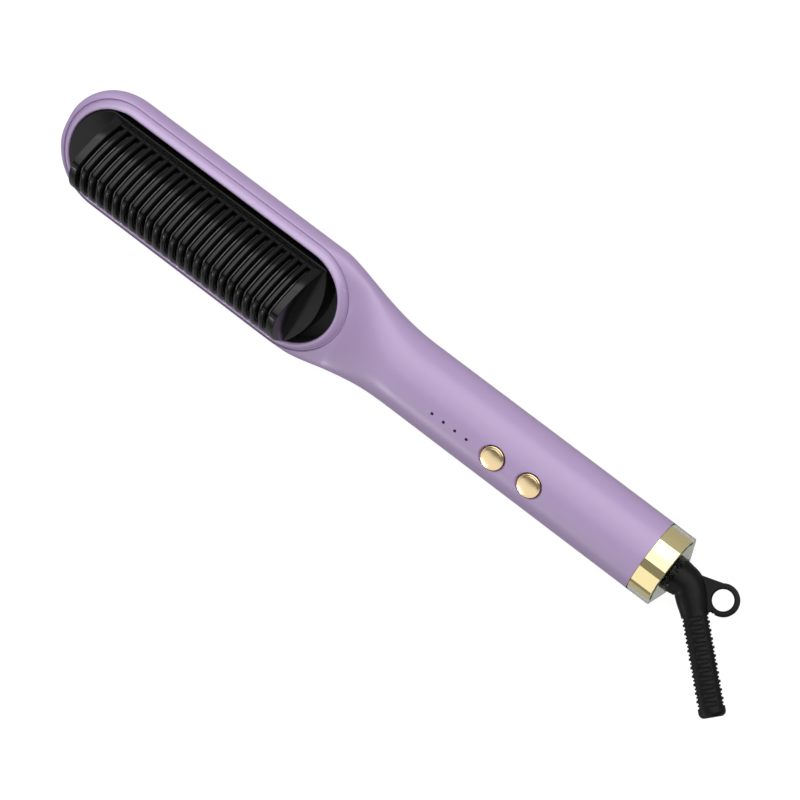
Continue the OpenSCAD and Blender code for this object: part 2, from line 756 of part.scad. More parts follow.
// A domed cap with a flange that keeps it in the handle and a stem that reaches the switch
module button(x) {
    dome_r = (pow(button_r, 2) + pow(dome_h, 2)) / (2 * dome_h);
    intersection() {
        pillar(x, 0, flange_low, button_top + cut, button_r);
        translate([x, 0, button_top - dome_r]) sphere(dome_r, $fn = 96);
    }
    pillar(x, 0, flange_low, flange_low + 1, flange_r);
    pillar(x, 0, stem_low, flange_low, stem_r);
}

module power_button() color("#e3c07c") place() button(button_x[0]);

module temperature_button() color("#e3c07c") place() button(button_x[1]);

module gold_band() color("#e8c878") place()
    ring_x_axis(housing_l, band_l, band_r, band_r - band_t);

// Clear collar: a tube over the band that ends in a shallow cone round the boot
module clear_collar() color("#cfe0c8", 0.4) place() {
    lip = 0.6;
    translate([housing_l, 0, 0]) rotate([0, 90, 0]) rotate_extrude() polygon([
        [collar_in, 0], [handle_r, 0], [handle_r, band_l + lip],
        [neck_r + 1.2, band_l + collar_tip], [neck_r + 0.4, band_l + collar_tip],
        [neck_r + 0.4, band_l + collar_tip - 1.3], [collar_in, band_l + 0.2]]);
}

module end_plug() color("#1d1d1f") place() {
    difference() {
        union() {
            bar_x(plug_x0, housing_l - plug_x0, tube_r - fit);
            bar_x(housing_l, band_l + 0.1, band_r - band_t - 0.05);
        }
        bar_x(plug_x0 - cut, shoulder_x - plug_x0 + cut, cavity_r);
        bar_x(shoulder_x - cut, band_l + 2 * cut, journal_r + journal_gap);
    }
}

module swivel_hub() color("#2a2a2c") place() {
    difference() {
        union() {
            bar_x(hub_x0, hub_t, cavity_r - 0.3);
            bar_x(tail_x0, hub_x0 - tail_x0, tail_r);
            bar_x(hub_x0 + hub_t, boot_x0 - hub_x0 - hub_t, journal_r);
            bar_x(boot_x0, 5, neck_r - 2.4);
        }
        bar_x(tail_x0 - cut, boot_x0 + 5 - tail_x0 + 2 * cut, lead_r);
    }
}

module swivel_retainer() color("#d6d6d2") place()
    ring_x_axis(retainer_x, retainer_t, cavity_r - 0.05, tail_r + 1.2);

module contact_rings() color("#d9b44a") place()
    for (x = ring_x) ring_x_axis(x, 2, tail_r + 0.8, tail_r + 0.01);

module swivel_contacts() color("#d9b44a") place()
    for (x = ring_x) block(x + 0.2, x + 1.8, -1.5, 1.5, tail_r + 1.1, cavity_r - 0.15);

module mains_wires() color("#3c5fa8") place()
    for (i = [0, 1]) let (s = 1 - 2 * i, z = under_board - 2) wire([
        [board_x1 - 1.5 - 2 * i, s * 4, under_board - 0.05],
        [board_x1 - 1.5 - 2 * i, s * 4, z],
        [plug_x0 + 1.5, s * 4.6, z],
        [tail_x0 - 1.5, s * 4.2, tail_r + 2.2],
        [ring_x[i] + 1, s * 2.1, tail_r + 2.2]], 0.6);

// ---- the rubber boot, drawn in the plane of its bend and then turned ----

module boot_plane() {
    translate([bend_x, 0, 0]) rotate([boot_turn, 0, 0]) children();
}

module flex_slot() {
    translate([0, 0, arm_r - slot_deep]) {
        translate([-slot_t / 2, -slot_w / 2 + slot_t / 2, 0])
            cube([slot_t, slot_w - slot_t, 2 * slot_deep]);
        for (s = [-1, 1]) translate([0, s * (slot_w - slot_t) / 2, 0])
            cylinder(h = 2 * slot_deep, r = slot_t / 2);
    }
}

module boot_arm() {
    end_r = 2;
    rotate([0, 90, 0]) rotate_extrude() polygon(concat(
        [[0, 0], [bend_r, 0], [bend_r - 0.4, taper_l * 0.55], [arm_r, taper_l]],
        [for (a = [0 : 15 : 90]) [arm_r - end_r + end_r * cos(a), arm_l - end_r + end_r * sin(a)]],
        [[0, arm_l]]));
}

module loop_tab() {
    translate([0, 0, -loop_t / 2]) linear_extrude(loop_t) {
        translate(loop_c) circle(loop_out);
        polygon([[0.5, 0], [0.8, -bend_r + 0.2],
            loop_c + loop_out * [cos(-115), sin(-115)] + [1.2, 0],
            loop_c, loop_c + loop_out * [cos(100), sin(100)],
            (taper_l + 0.6) * [cos(boot_bend), sin(boot_bend)], [4, 2]]);
    }
}

module cord_boot() color("#161616") place() boot_plane() {
    difference() {
        union() {
            cone_x(boot_x0 - bend_x, bend_x - boot_x0, neck_r, bend_r);
            sphere(bend_r);
            rotate([0, 0, boot_bend]) boot_arm();
            loop_tab();
        }
        bar_x(boot_x0 - bend_x - cut, 5 + cut, neck_r - 2.4);
        bar_x(boot_x0 - bend_x, bend_x - boot_x0, lead_r);
        sphere(lead_r);
        rotate([0, 0, boot_bend]) {
            bar_x(0, arm_l + cut, lead_r);
            bar_x(arm_l - cord_deep, cord_deep + cut, cord_d / 2);
            for (i = [0 : slot_count - 1]) for (q = [0 : 3])
                translate([slot_x0 + i * slot_pitch, 0, 0]) rotate([90 * q, 0, 0]) flex_slot();
        }
        translate([loop_c[0], loop_c[1], -loop_t]) cylinder(h = 2 * loop_t, r = loop_d / 2);
    }
}

main_housing();
back_cover();
rim_trim();
comb_guard();
heating_plate();
heater_element();
insulation_sheet();
heater_clamp();
heater_screws();
inner_tray();
thermistor();
thermal_fuse();
heater_wires();
sensor_wires();
comb_screws();
cover_screws();
board_carrier();
circuit_board();
board_components();
board_screws();
led_lamps();
light_guide();
power_switch();
temperature_switch();
power_plunger();
temperature_plunger();
power_button();
temperature_button();
gold_band();
clear_collar();
end_plug();
swivel_hub();
swivel_retainer();
contact_rings();
swivel_contacts();
mains_wires();
cord_boot();
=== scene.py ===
# %% [markdown]
# # A hot comb, dressed piece by piece
# A hot comb is a heated comb with a round handle. Hair slides between black ribs and over hot
# fins behind them. This lesson loads the solid model and gives every piece that shows a smooth
# shape of its own and a real finish. The solids inside keep their shape and get a finish only.

from math import acos, asin, atan2, cos, degrees, hypot, pi, radians, sin, sqrt, tan

import bmesh
import bpy
from mathutils import Matrix, Vector


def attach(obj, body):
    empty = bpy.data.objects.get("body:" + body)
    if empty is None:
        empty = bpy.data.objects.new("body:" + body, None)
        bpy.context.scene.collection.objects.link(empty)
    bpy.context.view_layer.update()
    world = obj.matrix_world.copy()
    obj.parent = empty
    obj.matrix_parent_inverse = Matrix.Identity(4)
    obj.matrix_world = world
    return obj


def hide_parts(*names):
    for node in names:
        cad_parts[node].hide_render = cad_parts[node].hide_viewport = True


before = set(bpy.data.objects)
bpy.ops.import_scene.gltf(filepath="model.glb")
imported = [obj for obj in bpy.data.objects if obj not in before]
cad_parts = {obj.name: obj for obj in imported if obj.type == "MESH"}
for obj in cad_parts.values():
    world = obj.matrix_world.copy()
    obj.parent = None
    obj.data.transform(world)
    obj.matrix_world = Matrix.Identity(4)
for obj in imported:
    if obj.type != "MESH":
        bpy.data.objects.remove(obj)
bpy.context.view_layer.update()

# %% [markdown]
# ## One set of axes for all pieces
# The pieces are drawn in millimetres, with X measured from the head's tip and Z from the
# handle's long axis, because every section of the comb is simplest there. One matrix then turns
# a finished mesh into metres and lays it on its back, so each object itself stays at the origin.

# %% Sizes that several pieces share
MM = 0.001
HANDLE_R = 15.0
WALL = 2.0
HOUSING_L = 281.5
REST_X = 69.9
TO_SCENE = Matrix.Scale(MM, 4) @ Matrix.Translation((-REST_X, 0, HANDLE_R))

TIP_C = 25.5
END_C = 114.3
OPEN_R = 19.3
SHOULDER_R = 22.85
SHELL_R = 24.2
RIM_Z = 7.3
SHOULDER_Z = 4.65
SHELF_Z = 3.6

# %% [markdown]
# ## Small helpers
# A piece starts as a bmesh. `to_object` cleans it, moves it to its place and hangs it on a body
# of the model. A full round is spun from an outline, and a cut is one mesh taken from another
# with an exact boolean. Each helper is a few lines, so the shapes below stay easy to follow.

# %% Helper: outline, lathe and sweep
def chain(bm, points, closed=False):
    """A line of edges through points; returns its vertices."""
    verts = [bm.verts.new(p) for p in points]
    for a, b in zip(verts, verts[1:] + verts[:1] if closed else verts[1:]):
        bm.edges.new((a, b))
    return verts


def lathe(profile, steps=96, centre=(0, 0, 0), axis=(1, 0, 0)):
    """A round body from (along, radius) pairs: a solid from the axis outwards, or a ring."""
    bm = bmesh.new()
    turn = Vector((1, 0, 0)).rotation_difference(Vector(axis)).to_matrix()
    points = [Vector(centre) + turn @ Vector((along, 0, radius)) for along, radius in profile]
    chain(bm, points, closed=profile[0][1] > 0)
    bmesh.ops.spin(bm, geom=bm.verts[:] + bm.edges[:], cent=centre, axis=axis, dvec=(0, 0, 0),
                   angle=2 * pi, steps=steps, use_merge=True)
    bmesh.ops.remove_doubles(bm, verts=bm.verts, dist=1e-4)
    bmesh.ops.recalc_face_normals(bm, faces=bm.faces)
    return bm


def arc(centre, radius, start, end, count):
    """Points on an arc in a plane, angles in degrees."""
    return [(centre[0] + radius * cos(radians(start + (end - start) * i / count)),
             centre[1] + radius * sin(radians(start + (end - start) * i / count)))
            for i in range(count + 1)]


def block(low, high):
    bm = bmesh.new()
    bmesh.ops.create_cube(bm, size=1)
    size = [b - a for a, b in zip(low, high)]
    bmesh.ops.scale(bm, vec=size, verts=bm.verts)
    bmesh.ops.translate(bm, vec=[(a + b) / 2 for a, b in zip(low, high)], verts=bm.verts)
    return bm


# %% Helper: cut, join and finish a mesh
def as_object(bm, name):
    mesh = bpy.data.meshes.new(name)
    bm.to_mesh(mesh)
    bm.free()
    obj = bpy.data.objects.new(name, mesh)
    bpy.context.scene.collection.objects.link(obj)
    return obj


def combine(base, tool, operation="DIFFERENCE"):
    """An exact boolean of two bmeshes, which are used up."""
    base, tool = as_object(base, "base"), as_object(tool, "tool")
    boolean = base.modifiers.new("boolean", "BOOLEAN")
    boolean.operation, boolean.solver, boolean.object = operation, "EXACT", tool
    result = bmesh.new()
    result.from_object(base, bpy.context.evaluated_depsgraph_get())
    for obj in (base, tool):
        mesh = obj.data
        bpy.data.objects.remove(obj)
        bpy.data.meshes.remove(mesh)
    return result


def join(*parts):
    """Several bmeshes side by side in one."""
    result = bmesh.new()
    for part in parts:
        mesh = bpy.data.meshes.new("part")
        part.to_mesh(mesh)
        part.free()
        result.from_mesh(mesh)
        bpy.data.meshes.remove(mesh)
    return result


def to_object(bm, name, material, body, slot, *nodes, sharp=32):
    """Cleans a drawn piece, puts it in its place and hangs it on its body."""
    bmesh.ops.remove_doubles(bm, verts=bm.verts, dist=1e-4)
    bmesh.ops.dissolve_degenerate(bm, dist=1e-5, edges=bm.edges)
    bmesh.ops.transform(bm, matrix=TO_SCENE, verts=bm.verts)
    obj = as_object(bm, name)
    obj.data.materials.append(material)
    obj.data.shade_smooth()
    obj.data.set_sharp_from_angle(angle=radians(sharp))
    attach(obj, body)
    if nodes:
        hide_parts(*nodes)
    print(f"{name}: {len(obj.data.polygons)} faces on {body}")
    return obj


# %% [markdown]
# ## Shader groups for the moulded look
# Two effects come back in most finishes. Moulded plastic has a faint orange-peel relief and a
# gloss that varies a little with handling. Edges that stand out are painted paler: partly rubbed wear, partly a
# painted highlight.
# Each effect is one node group that puts out plain values, and every finish sets its own amounts.

# %% Group: moulded skin
def new_group(name, inputs, outputs):
    tree = bpy.data.node_groups.new(name, "ShaderNodeTree")
    for label, kind, value in inputs:
        socket = tree.interface.new_socket(label, in_out="INPUT", socket_type="NodeSocket" + kind)
        if value is not None:
            socket.default_value = value
    for label, kind in outputs:
        tree.interface.new_socket(label, in_out="OUTPUT", socket_type="NodeSocket" + kind)
    return tree, tree.nodes.new("NodeGroupInput"), tree.nodes.new("NodeGroupOutput")


def node(tree, kind, **settings):
    made = tree.nodes.new("ShaderNode" + kind)
    for key, value in settings.items():
        if key in made.inputs:
            made.inputs[key].default_value = value
        else:
            setattr(made, key, value)
    return made


def moulded_skin_group():
    tree, source, sink = new_group(
        "moulded skin",
        [("Grain Scale", "Float", 1500.0), ("Grain Height", "Float", 0.2),
         ("Roughness", "Float", 0.3), ("Roughness Spread", "Float", 0.06)],
        [("Roughness", "Float"), ("Normal", "Vector"), ("Mottle", "Float")])
    link = tree.links.new
    place = node(tree, "TexCoord")
    grain = node(tree, "TexNoise", Detail=2.0, Roughness=0.5)
    link(place.outputs["Object"], grain.inputs["Vector"])
    link(source.outputs["Grain Scale"], grain.inputs["Scale"])
    bump = node(tree, "Bump", Distance=0.00002)
    link(grain.outputs["Fac"], bump.inputs["Height"])
    link(source.outputs["Grain Height"], bump.inputs["Strength"])
    cloud = node(tree, "TexNoise", Scale=55.0, Detail=3.0)
    link(place.outputs["Object"], cloud.inputs["Vector"])
    spread = node(tree, "Math", operation="MULTIPLY_ADD")
    centred = node(tree, "Math", operation="SUBTRACT")
    centred.inputs[1].default_value = 0.5
    link(cloud.outputs["Fac"], centred.inputs[0])
    link(centred.outputs[0], spread.inputs[0])
    link(source.outputs["Roughness Spread"], spread.inputs[1])
    link(source.outputs["Roughness"], spread.inputs[2])
    link(spread.outputs[0], sink.inputs["Roughness"])
    link(bump.outputs["Normal"], sink.inputs["Normal"])
    link(cloud.outputs["Fac"], sink.inputs["Mottle"])
    return tree


MOULDED_SKIN = moulded_skin_group()


# %% Group: edge wear and painted highlight
# Paler edges: partly rubbed wear, partly a painted highlight that stands in for light catching the edge.
def edge_wear_and_highlight_group():
    tree, source, sink = new_group(
        "edge wear and painted highlight",
        [("Amount", "Float", 0.5), ("Radius", "Float", 0.0004)],
        [("Mask", "Float")])
    link = tree.links.new
    place = node(tree, "TexCoord")
    rounded = node(tree, "Bevel", samples=4)
    link(source.outputs["Radius"], rounded.inputs["Radius"])
    true_normal = node(tree, "NewGeometry")
    match = node(tree, "VectorMath", operation="DOT_PRODUCT")
    link(rounded.outputs["Normal"], match.inputs[0])
    link(true_normal.outputs["Normal"], match.inputs[1])
    edge = node(tree, "MapRange")
    edge.inputs["From Min"].default_value = 0.98
    edge.inputs["From Max"].default_value = 0.8
    link(match.outputs["Value"], edge.inputs["Value"])
    patchy = node(tree, "TexNoise", Scale=260.0, Detail=3.0)
    link(place.outputs["Object"], patchy.inputs["Vector"])
    some = node(tree, "Math", operation="MULTIPLY")
    link(edge.outputs["Result"], some.inputs[0])
    link(patchy.outputs["Fac"], some.inputs[1])
    scaled = node(tree, "Math", operation="MULTIPLY", use_clamp=True)
    link(some.outputs[0], scaled.inputs[0])
    link(source.outputs["Amount"], scaled.inputs[1])
    link(scaled.outputs[0], sink.inputs["Mask"])
    return tree


EDGE_WEAR_AND_HIGHLIGHT = edge_wear_and_highlight_group()

# %% [markdown]
# ## One recipe for every finish
# A finish here is a Principled shader with the two groups in front of it. The constants that
# never change over the surface, such as metal, coat and refraction, sit on the shader itself,
# so they survive an export. Colour varies slightly between a base and a second tone.

# %% Helper: a finish
def finish(name, colour, second=None, rough=0.4, spread=0.06, grain=1500.0, relief=0.15,
           edge_wear_highlight_tone=None, edge_amount=0.8, **shader_values):
    material = bpy.data.materials.new(name)
    material.use_nodes = True
    tree = material.node_tree
    link = tree.links.new
    shader = tree.nodes["Principled BSDF"]
    skin = node(tree, "Group", node_tree=MOULDED_SKIN)
    skin.inputs["Grain Scale"].default_value = grain
    skin.inputs["Grain Height"].default_value = relief
    skin.inputs["Roughness"].default_value = rough
    skin.inputs["Roughness Spread"].default_value = spread
    link(skin.outputs["Roughness"], shader.inputs["Roughness"])
    link(skin.outputs["Normal"], shader.inputs["Normal"])
    tone = node(tree, "Mix", data_type="RGBA")
    tone.inputs["A"].default_value = (*colour, 1)
    tone.inputs["B"].default_value = (*(second or colour), 1)
    link(skin.outputs["Mottle"], tone.inputs["Factor"])
    colour_out = tone.outputs["Result"]
    # Edges get a paler tone here: partly wear, partly a painted highlight along them.
    if edge_wear_highlight_tone:
        edges = node(tree, "Group", node_tree=EDGE_WEAR_AND_HIGHLIGHT)
        edges.inputs["Amount"].default_value = edge_amount
        edge_wear_highlight_mix = node(tree, "Mix", data_type="RGBA")
        edge_wear_highlight_mix.inputs["B"].default_value = (*edge_wear_highlight_tone, 1)
        link(colour_out, edge_wear_highlight_mix.inputs["A"])
        link(edges.outputs["Mask"], edge_wear_highlight_mix.inputs["Factor"])
        colour_out = edge_wear_highlight_mix.outputs["Result"]
    link(colour_out, shader.inputs["Base Color"])
    for label, value in shader_values.items():
        shader.inputs[label.replace("_", " ")].default_value = value
    return material


# %% [markdown]
# ## The finishes of this comb
# The housing is satin-gloss lavender plastic. The comb is black heat-resistant plastic with a
# moulded sheen, and the fins behind it have a smooth ceramic coat. The band and the buttons are
# plated, so they are metal to the light. The boot is soft black plastic with a fine grain.

# %% Finishes that show
LAVENDER = finish("lavender shell", (0.36, 0.262, 0.445), (0.375, 0.275, 0.46), rough=0.36,
                  grain=2600, relief=0.12, Coat_Weight=0.15, Coat_Roughness=0.25)
LAVENDER_TRIM = finish("lavender trim", (0.4, 0.3, 0.49), (0.415, 0.312, 0.505), rough=0.26,
                       grain=2600, relief=0.08, Coat_Weight=0.4, Coat_Roughness=0.1)
# The comb's pale edge tone paints a highlight line along the rib edges, with a little wear.
COMB_BLACK = finish("comb black", (0.0025, 0.0028, 0.0025), (0.005, 0.0053, 0.0048), rough=0.2,
                    spread=0.06, grain=2200, relief=0.2, edge_wear_highlight_tone=(0.02, 0.021, 0.019),
                    Specular_IOR_Level=0.3)
FIN_COAT = finish("fin coat", (0.005, 0.005, 0.0055), (0.009, 0.009, 0.0095), rough=0.2,
                  grain=3200, relief=0.1, Specular_IOR_Level=0.4, Coat_Weight=0.6,
                  Coat_Roughness=0.1)
GOLD = finish("gold plating", (0.98, 0.76, 0.45), (0.99, 0.78, 0.48), rough=0.05, spread=0.04,
              grain=900, relief=0.02, Metallic=1.0)
GOLD_BUTTON = finish("gold button plating", (0.86, 0.63, 0.33), (0.95, 0.76, 0.47), rough=0.24,
                     spread=0.12, grain=700, relief=0.9, Metallic=1.0)
CLEAR = finish("clear resin", (0.93, 0.97, 0.90), (0.94, 0.98, 0.92), rough=0.03, spread=0.01,
               grain=600, relief=0.02, Transmission_Weight=1.0, IOR=1.06)
# The boot's pale edge tone is partly wear, partly a painted highlight on its edges.
BOOT_BLACK = finish("boot black", (0.0035, 0.0035, 0.0033), (0.006, 0.006, 0.0057), rough=0.4,
                    spread=0.08, grain=2400, relief=0.3, edge_wear_highlight_tone=(0.02, 0.02, 0.019),
                    Specular_IOR_Level=0.14)
GUIDE = finish("smoked light guide", (0.004, 0.003, 0.006), (0.006, 0.005, 0.01), rough=0.3,
               Specular_IOR_Level=0.3)

# %% Finishes inside
INNER_BLACK = finish("tray black", (0.014, 0.014, 0.014), (0.02, 0.02, 0.02), rough=0.55,
                     relief=0.4)
CERAMIC = finish("white ceramic", (0.72, 0.7, 0.65), (0.78, 0.76, 0.7), rough=0.6, relief=0.5)
AMBER = finish("amber film", (0.45, 0.2, 0.04), (0.5, 0.24, 0.06), rough=0.25)
STEEL = finish("zinc-plated steel", (0.52, 0.53, 0.55), (0.6, 0.6, 0.6), rough=0.32, spread=0.2,
               Metallic=1.0)
BRASS = finish("contact brass", (0.75, 0.52, 0.2), (0.8, 0.58, 0.26), rough=0.25, spread=0.15,
               Metallic=1.0)
BEAD = finish("sensor resin", (0.03, 0.03, 0.03), (0.05, 0.05, 0.05), rough=0.4)
RED_SLEEVE = finish("red sleeve", (0.42, 0.04, 0.03), (0.5, 0.06, 0.04), rough=0.5)
WHITE_SLEEVE = finish("white sleeve", (0.7, 0.68, 0.62), (0.76, 0.74, 0.68), rough=0.5)
BLUE_SLEEVE = finish("blue sleeve", (0.04, 0.1, 0.36), (0.05, 0.12, 0.4), rough=0.5)
IVORY = finish("ivory plastic", (0.66, 0.63, 0.55), (0.7, 0.67, 0.6), rough=0.45)
BOARD = finish("board green", (0.02, 0.12, 0.04), (0.03, 0.15, 0.05), rough=0.3,
               Coat_Weight=0.4)
CHIP = finish("component black", (0.02, 0.02, 0.022), (0.035, 0.035, 0.036), rough=0.45)
LAMP = finish("lamp resin", (0.75, 0.7, 0.45), (0.8, 0.76, 0.52), rough=0.2)
print("finishes:", len(bpy.data.materials))

# %% [markdown]
# ## Dressing the solids
# The pieces inside are right as solids, so they stay and get their finish in place of the plain
# one. A solid that a smoother piece replaces later also gets it, which keeps this table whole.

# %% Finish of every solid
SOLID_FINISH = {
    "main_housing": LAVENDER, "back_cover": LAVENDER, "rim_trim": LAVENDER_TRIM,
    "comb_guard": COMB_BLACK, "heating_plate": FIN_COAT, "heater_element": CERAMIC,
    "insulation_sheet": AMBER, "heater_clamp": STEEL, "heater_screws": STEEL,
    "inner_tray": INNER_BLACK, "thermistor": BEAD, "thermal_fuse": STEEL,
    "heater_wires": RED_SLEEVE, "sensor_wires": WHITE_SLEEVE, "comb_screws": STEEL,
    "cover_screws": STEEL, "board_carrier": IVORY, "circuit_board": BOARD,
    "board_components": CHIP, "board_screws": STEEL, "led_lamps": LAMP, "light_guide": GUIDE,
    "power_switch": CHIP, "temperature_switch": CHIP, "power_plunger": IVORY,
    "temperature_plunger": IVORY, "power_button": GOLD_BUTTON, "temperature_button": GOLD_BUTTON,
    "gold_band": GOLD, "clear_collar": CLEAR, "end_plug": INNER_BLACK,
    "swivel_hub": INNER_BLACK, "swivel_retainer": IVORY, "contact_rings": BRASS,
    "swivel_contacts": BRASS, "mains_wires": BLUE_SLEEVE, "cord_boot": BOOT_BLACK,
}
for name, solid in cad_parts.items():
    solid.data.materials.clear()
    solid.data.materials.append(SOLID_FINISH[name])
print("solids with a finish:", len(SOLID_FINISH))

# %% [markdown]
# ## The head and neck as a loft
# The head is a flat-backed trough that turns into a round tube. Every cross-section is a squarish
# arch in front and half an ellipse behind, so the shape is a row of such sections joined ring to
# ring. A sculpted or subdivided cage could be as smooth, but a loft keeps the exact widths.

# %% Widths and depths along the head
TIP_L = 25.0
HEAD_DEEP = 15.6
NECK_X0 = 122.0
NECK_L = 48.0
NECK_X1 = NECK_X0 + NECK_L
GROOVE_END = END_C + SHOULDER_R
RING_SIDES = 128


def ease(u):
    return u * u * (3 - 2 * u)


def tip_share(x, inset, power):
    """Fullness of the tip: 0 at its end, 1 where the head is full."""
    if x >= TIP_L:
        return 1.0
    return max(0.0, 1 - ((TIP_L - x) / (TIP_L - inset)) ** power) ** (1 / power)


def half_width(x, inset):
    if x < NECK_X0:
        return (SHELL_R - inset) * tip_share(x, inset, 2.15)
    narrowing = cos(radians(90 * min(1, (x - NECK_X0) / NECK_L) ** 0.75)) ** 2
    return HANDLE_R - inset + (SHELL_R - HANDLE_R) * narrowing


def depth(x, inset):
    if x < NECK_X0:
        return (HEAD_DEEP - inset) * tip_share(x, inset, 2.3)
    return HEAD_DEEP - inset + (HANDLE_R - HEAD_DEEP) * ease(min(1, (x - NECK_X0) / NECK_L))


def rise(x):
    """How far the front has come up from the groove: quickly at first, then gently."""
    return ease(min(1, max(0, (x - GROOVE_END) / (NECK_X1 - GROOVE_END))) ** 0.72)


def front_height(x, inset):
    """Height of the front, so that the skin meets the groove's edge."""
    if x > GROOVE_END:
        return SHOULDER_Z + (HANDLE_R - SHOULDER_Z) * rise(x) - inset
    tip_end = TIP_C - SHOULDER_R
    if x < tip_end:
        tall = SHOULDER_Z * sqrt(max(0, 1 - (1 - x / tip_end) ** 2))
    else:
        off = max(0, TIP_C - x, x - END_C)
        groove_y = sqrt(max(0, SHOULDER_R ** 2 - off ** 2))
        tall = SHOULDER_Z / (1 - (groove_y / half_width(x, 0)) ** 3) ** (1 / 3)
    return tall if inset == 0 else max(0.6, tall - inset) * sqrt(tip_share(x, inset, 2))


def front_power(x):
    return 2 + (1 - rise(x)) ** 2


# %% Helper: a point of the section, and the loft
def section_point(angle, x, inset):
    """A point of the cross-section at x: squarish arch in front, flat-backed ellipse behind."""
    c, s = cos(angle), sin(angle)
    if s >= 0:
        power = 2 / front_power(x)
        side = half_width(x, inset) * abs(c) ** power
        return Vector((x, side if c > 0 else -side, front_height(x, inset) * s ** power))
    return Vector((x, half_width(x, inset) * c, max(depth(x, inset) * s, inset - HANDLE_R)))


def grow(bm, edges, tags, place):
    """Draws a ring out into a new one: each new vertex keeps its tag and goes to place(tag)."""
    grown = bmesh.ops.extrude_edge_only(bm, edges=edges)["geom"]
    verts = [g for g in grown if isinstance(g, bmesh.types.BMVert)]
    tags = {v: next(tags[e.other_vert(v)] for e in v.link_edges if e.other_vert(v) in tags)
            for v in verts}
    for v in verts:
        v.co = place(tags[v])
    return [g for g in grown if isinstance(g, bmesh.types.BMEdge)], tags


def loft(segments, places):
    """A closed body through rings; each place turns an angle into a point of its ring."""
    bm = bmesh.new()
    half_step = Matrix.Rotation(pi / segments, 4, "Z")
    verts = bmesh.ops.create_circle(bm, segments=segments, radius=1, matrix=half_step)["verts"]
    tags = {v: atan2(v.co.y, v.co.x) for v in verts}
    for v in verts:
        v.co = places[0](tags[v])
    first = edges = bm.edges[:]
    for place in places[1:]:
        edges, tags = grow(bm, edges, tags, place)
    for end in (first, edges):
        bmesh.ops.contextual_create(bm, geom=end)
    bmesh.ops.recalc_face_normals(bm, faces=bm.faces)
    return bm


def head_loft(xs, inset):
    return loft(RING_SIDES, [lambda a, x=x: section_point(a, x, inset) for x in xs])


def ring_places(inset, end):
    tip = [inset + (TIP_L - inset) * (1 - cos(radians(a))) for a in range(3, 88, 4)]
    head = [TIP_C + (END_C - TIP_C) * i / 8 for i in range(9)]
    opening_end = [END_C + SHOULDER_R * sin(radians(a)) for a in range(6, 88, 5)]
    neck = [GROOVE_END + (NECK_X1 - GROOVE_END) * (i / 24) ** 1.5 for i in range(25)]
    handle = [NECK_X1 + (end - NECK_X1) * i / 30 for i in range(1, 31)]
    return tip + head + opening_end + neck + handle


# %% [markdown]
# ## The hollow shell and its openings
# The real housing is one moulding with a 2 mm wall, open at the front for the comb and open
# behind the head for the flat cover. Two lofts, one inside the other, give the wall. Cutters with
# a flared lip take out the opening, the button holes and the lamp holes, so each rim is softened.

# %% Cutters for the opening and the holes
def stadium_cutter(profile):
    """A stadium-shaped plug from (radius, height) pairs."""
    return loft(128, [lambda a, r=r, z=z: Vector(
        (r * cos(a) + (END_C if cos(a) > 0 else TIP_C), r * sin(a), z)) for r, z in profile])


BUTTON_X = (214.4, 231.4)
LAMP_X = [186.42 + 5.36 * i for i in range(4)]
BUTTON_R = 4.75
HOLE_R = BUTTON_R + 0.3
LAMP_R = 0.5


def hole_cutter(x, radius, lip):
    """A round plug from the axis outwards, with a lip that flares at the handle's surface."""
    surface = sqrt(HANDLE_R ** 2 - radius ** 2)
    return lathe([(0, 0), (0, radius), (surface - lip, radius), (HANDLE_R + 1, radius + lip + 1),
                  (HANDLE_R + 1, 0)], steps=64, centre=(x, 0, 0), axis=(0, 0, 1))


# %% The housing and its back cover
SPLIT_Z = -5.0
COVER_X = 115.7
SEAM = 0.15

outer = head_loft(ring_places(0, HOUSING_L), 0)
inner = head_loft(ring_places(WALL, HOUSING_L + 1), WALL)
shell = combine(outer, inner)
cover = shell.copy()
shell = combine(shell, block((-5, -30, -20), (COVER_X, 30, SPLIT_Z)))
shell = combine(shell, stadium_cutter([(22.15, -1.5), (22.15, SHELF_Z + 0.1)]))
shell = combine(shell, stadium_cutter([
    (SHOULDER_R, SHELF_Z), (SHOULDER_R, SHOULDER_Z - 0.7), (SHOULDER_R + 0.15, SHOULDER_Z - 0.3),
    (SHOULDER_R + 0.5, SHOULDER_Z - 0.02), (SHOULDER_R + 0.75, SHOULDER_Z + 0.15),
    (SHOULDER_R + 0.75, 14)]))
for x in BUTTON_X:
    shell = combine(shell, hole_cutter(x, HOLE_R, 0.25))
for x in LAMP_X:
    shell = combine(shell, hole_cutter(x, LAMP_R + 0.13, 0.05))
cover = combine(cover, block((-5, -30, -20), (COVER_X - SEAM, 30, SPLIT_Z - SEAM)), "INTERSECT")
COVER_SCREWS = [(x, side * 10.5) for x in (24.0, 104.3) for side in (-1, 1)]
for x, y in COVER_SCREWS:
    post = lathe([(-13.5, 2.6), (-13.5, 3.4), (-9.0, 3.4), (-9.0, 1.4), (-11.8, 1.4), (-11.8, 2.6)],
                 steps=48, centre=(x, y, 0), axis=(0, 0, 1))
    well = lathe([(-16, 0), (-16, 2.6), (-10, 2.6), (-10, 0)], steps=48, centre=(x, y, 0),
                 axis=(0, 0, 1))
    cover = join(combine(cover, well), post)
housing = to_object(shell, "housing_shell", LAVENDER, "housing", "lavender_shell", "main_housing")
back = to_object(cover, "head_back_cover", LAVENDER, "housing", "lavender_shell", "back_cover")

# %% [markdown]
# ## The rim trim
# A separate lavender trim frames the opening. It slopes from the comb's side down to a dark
# groove and has a skirt that goes down inside the housing. Its cross-section is the same all the
# way round, so it is turned round the tip, drawn out straight, and turned round the other end.

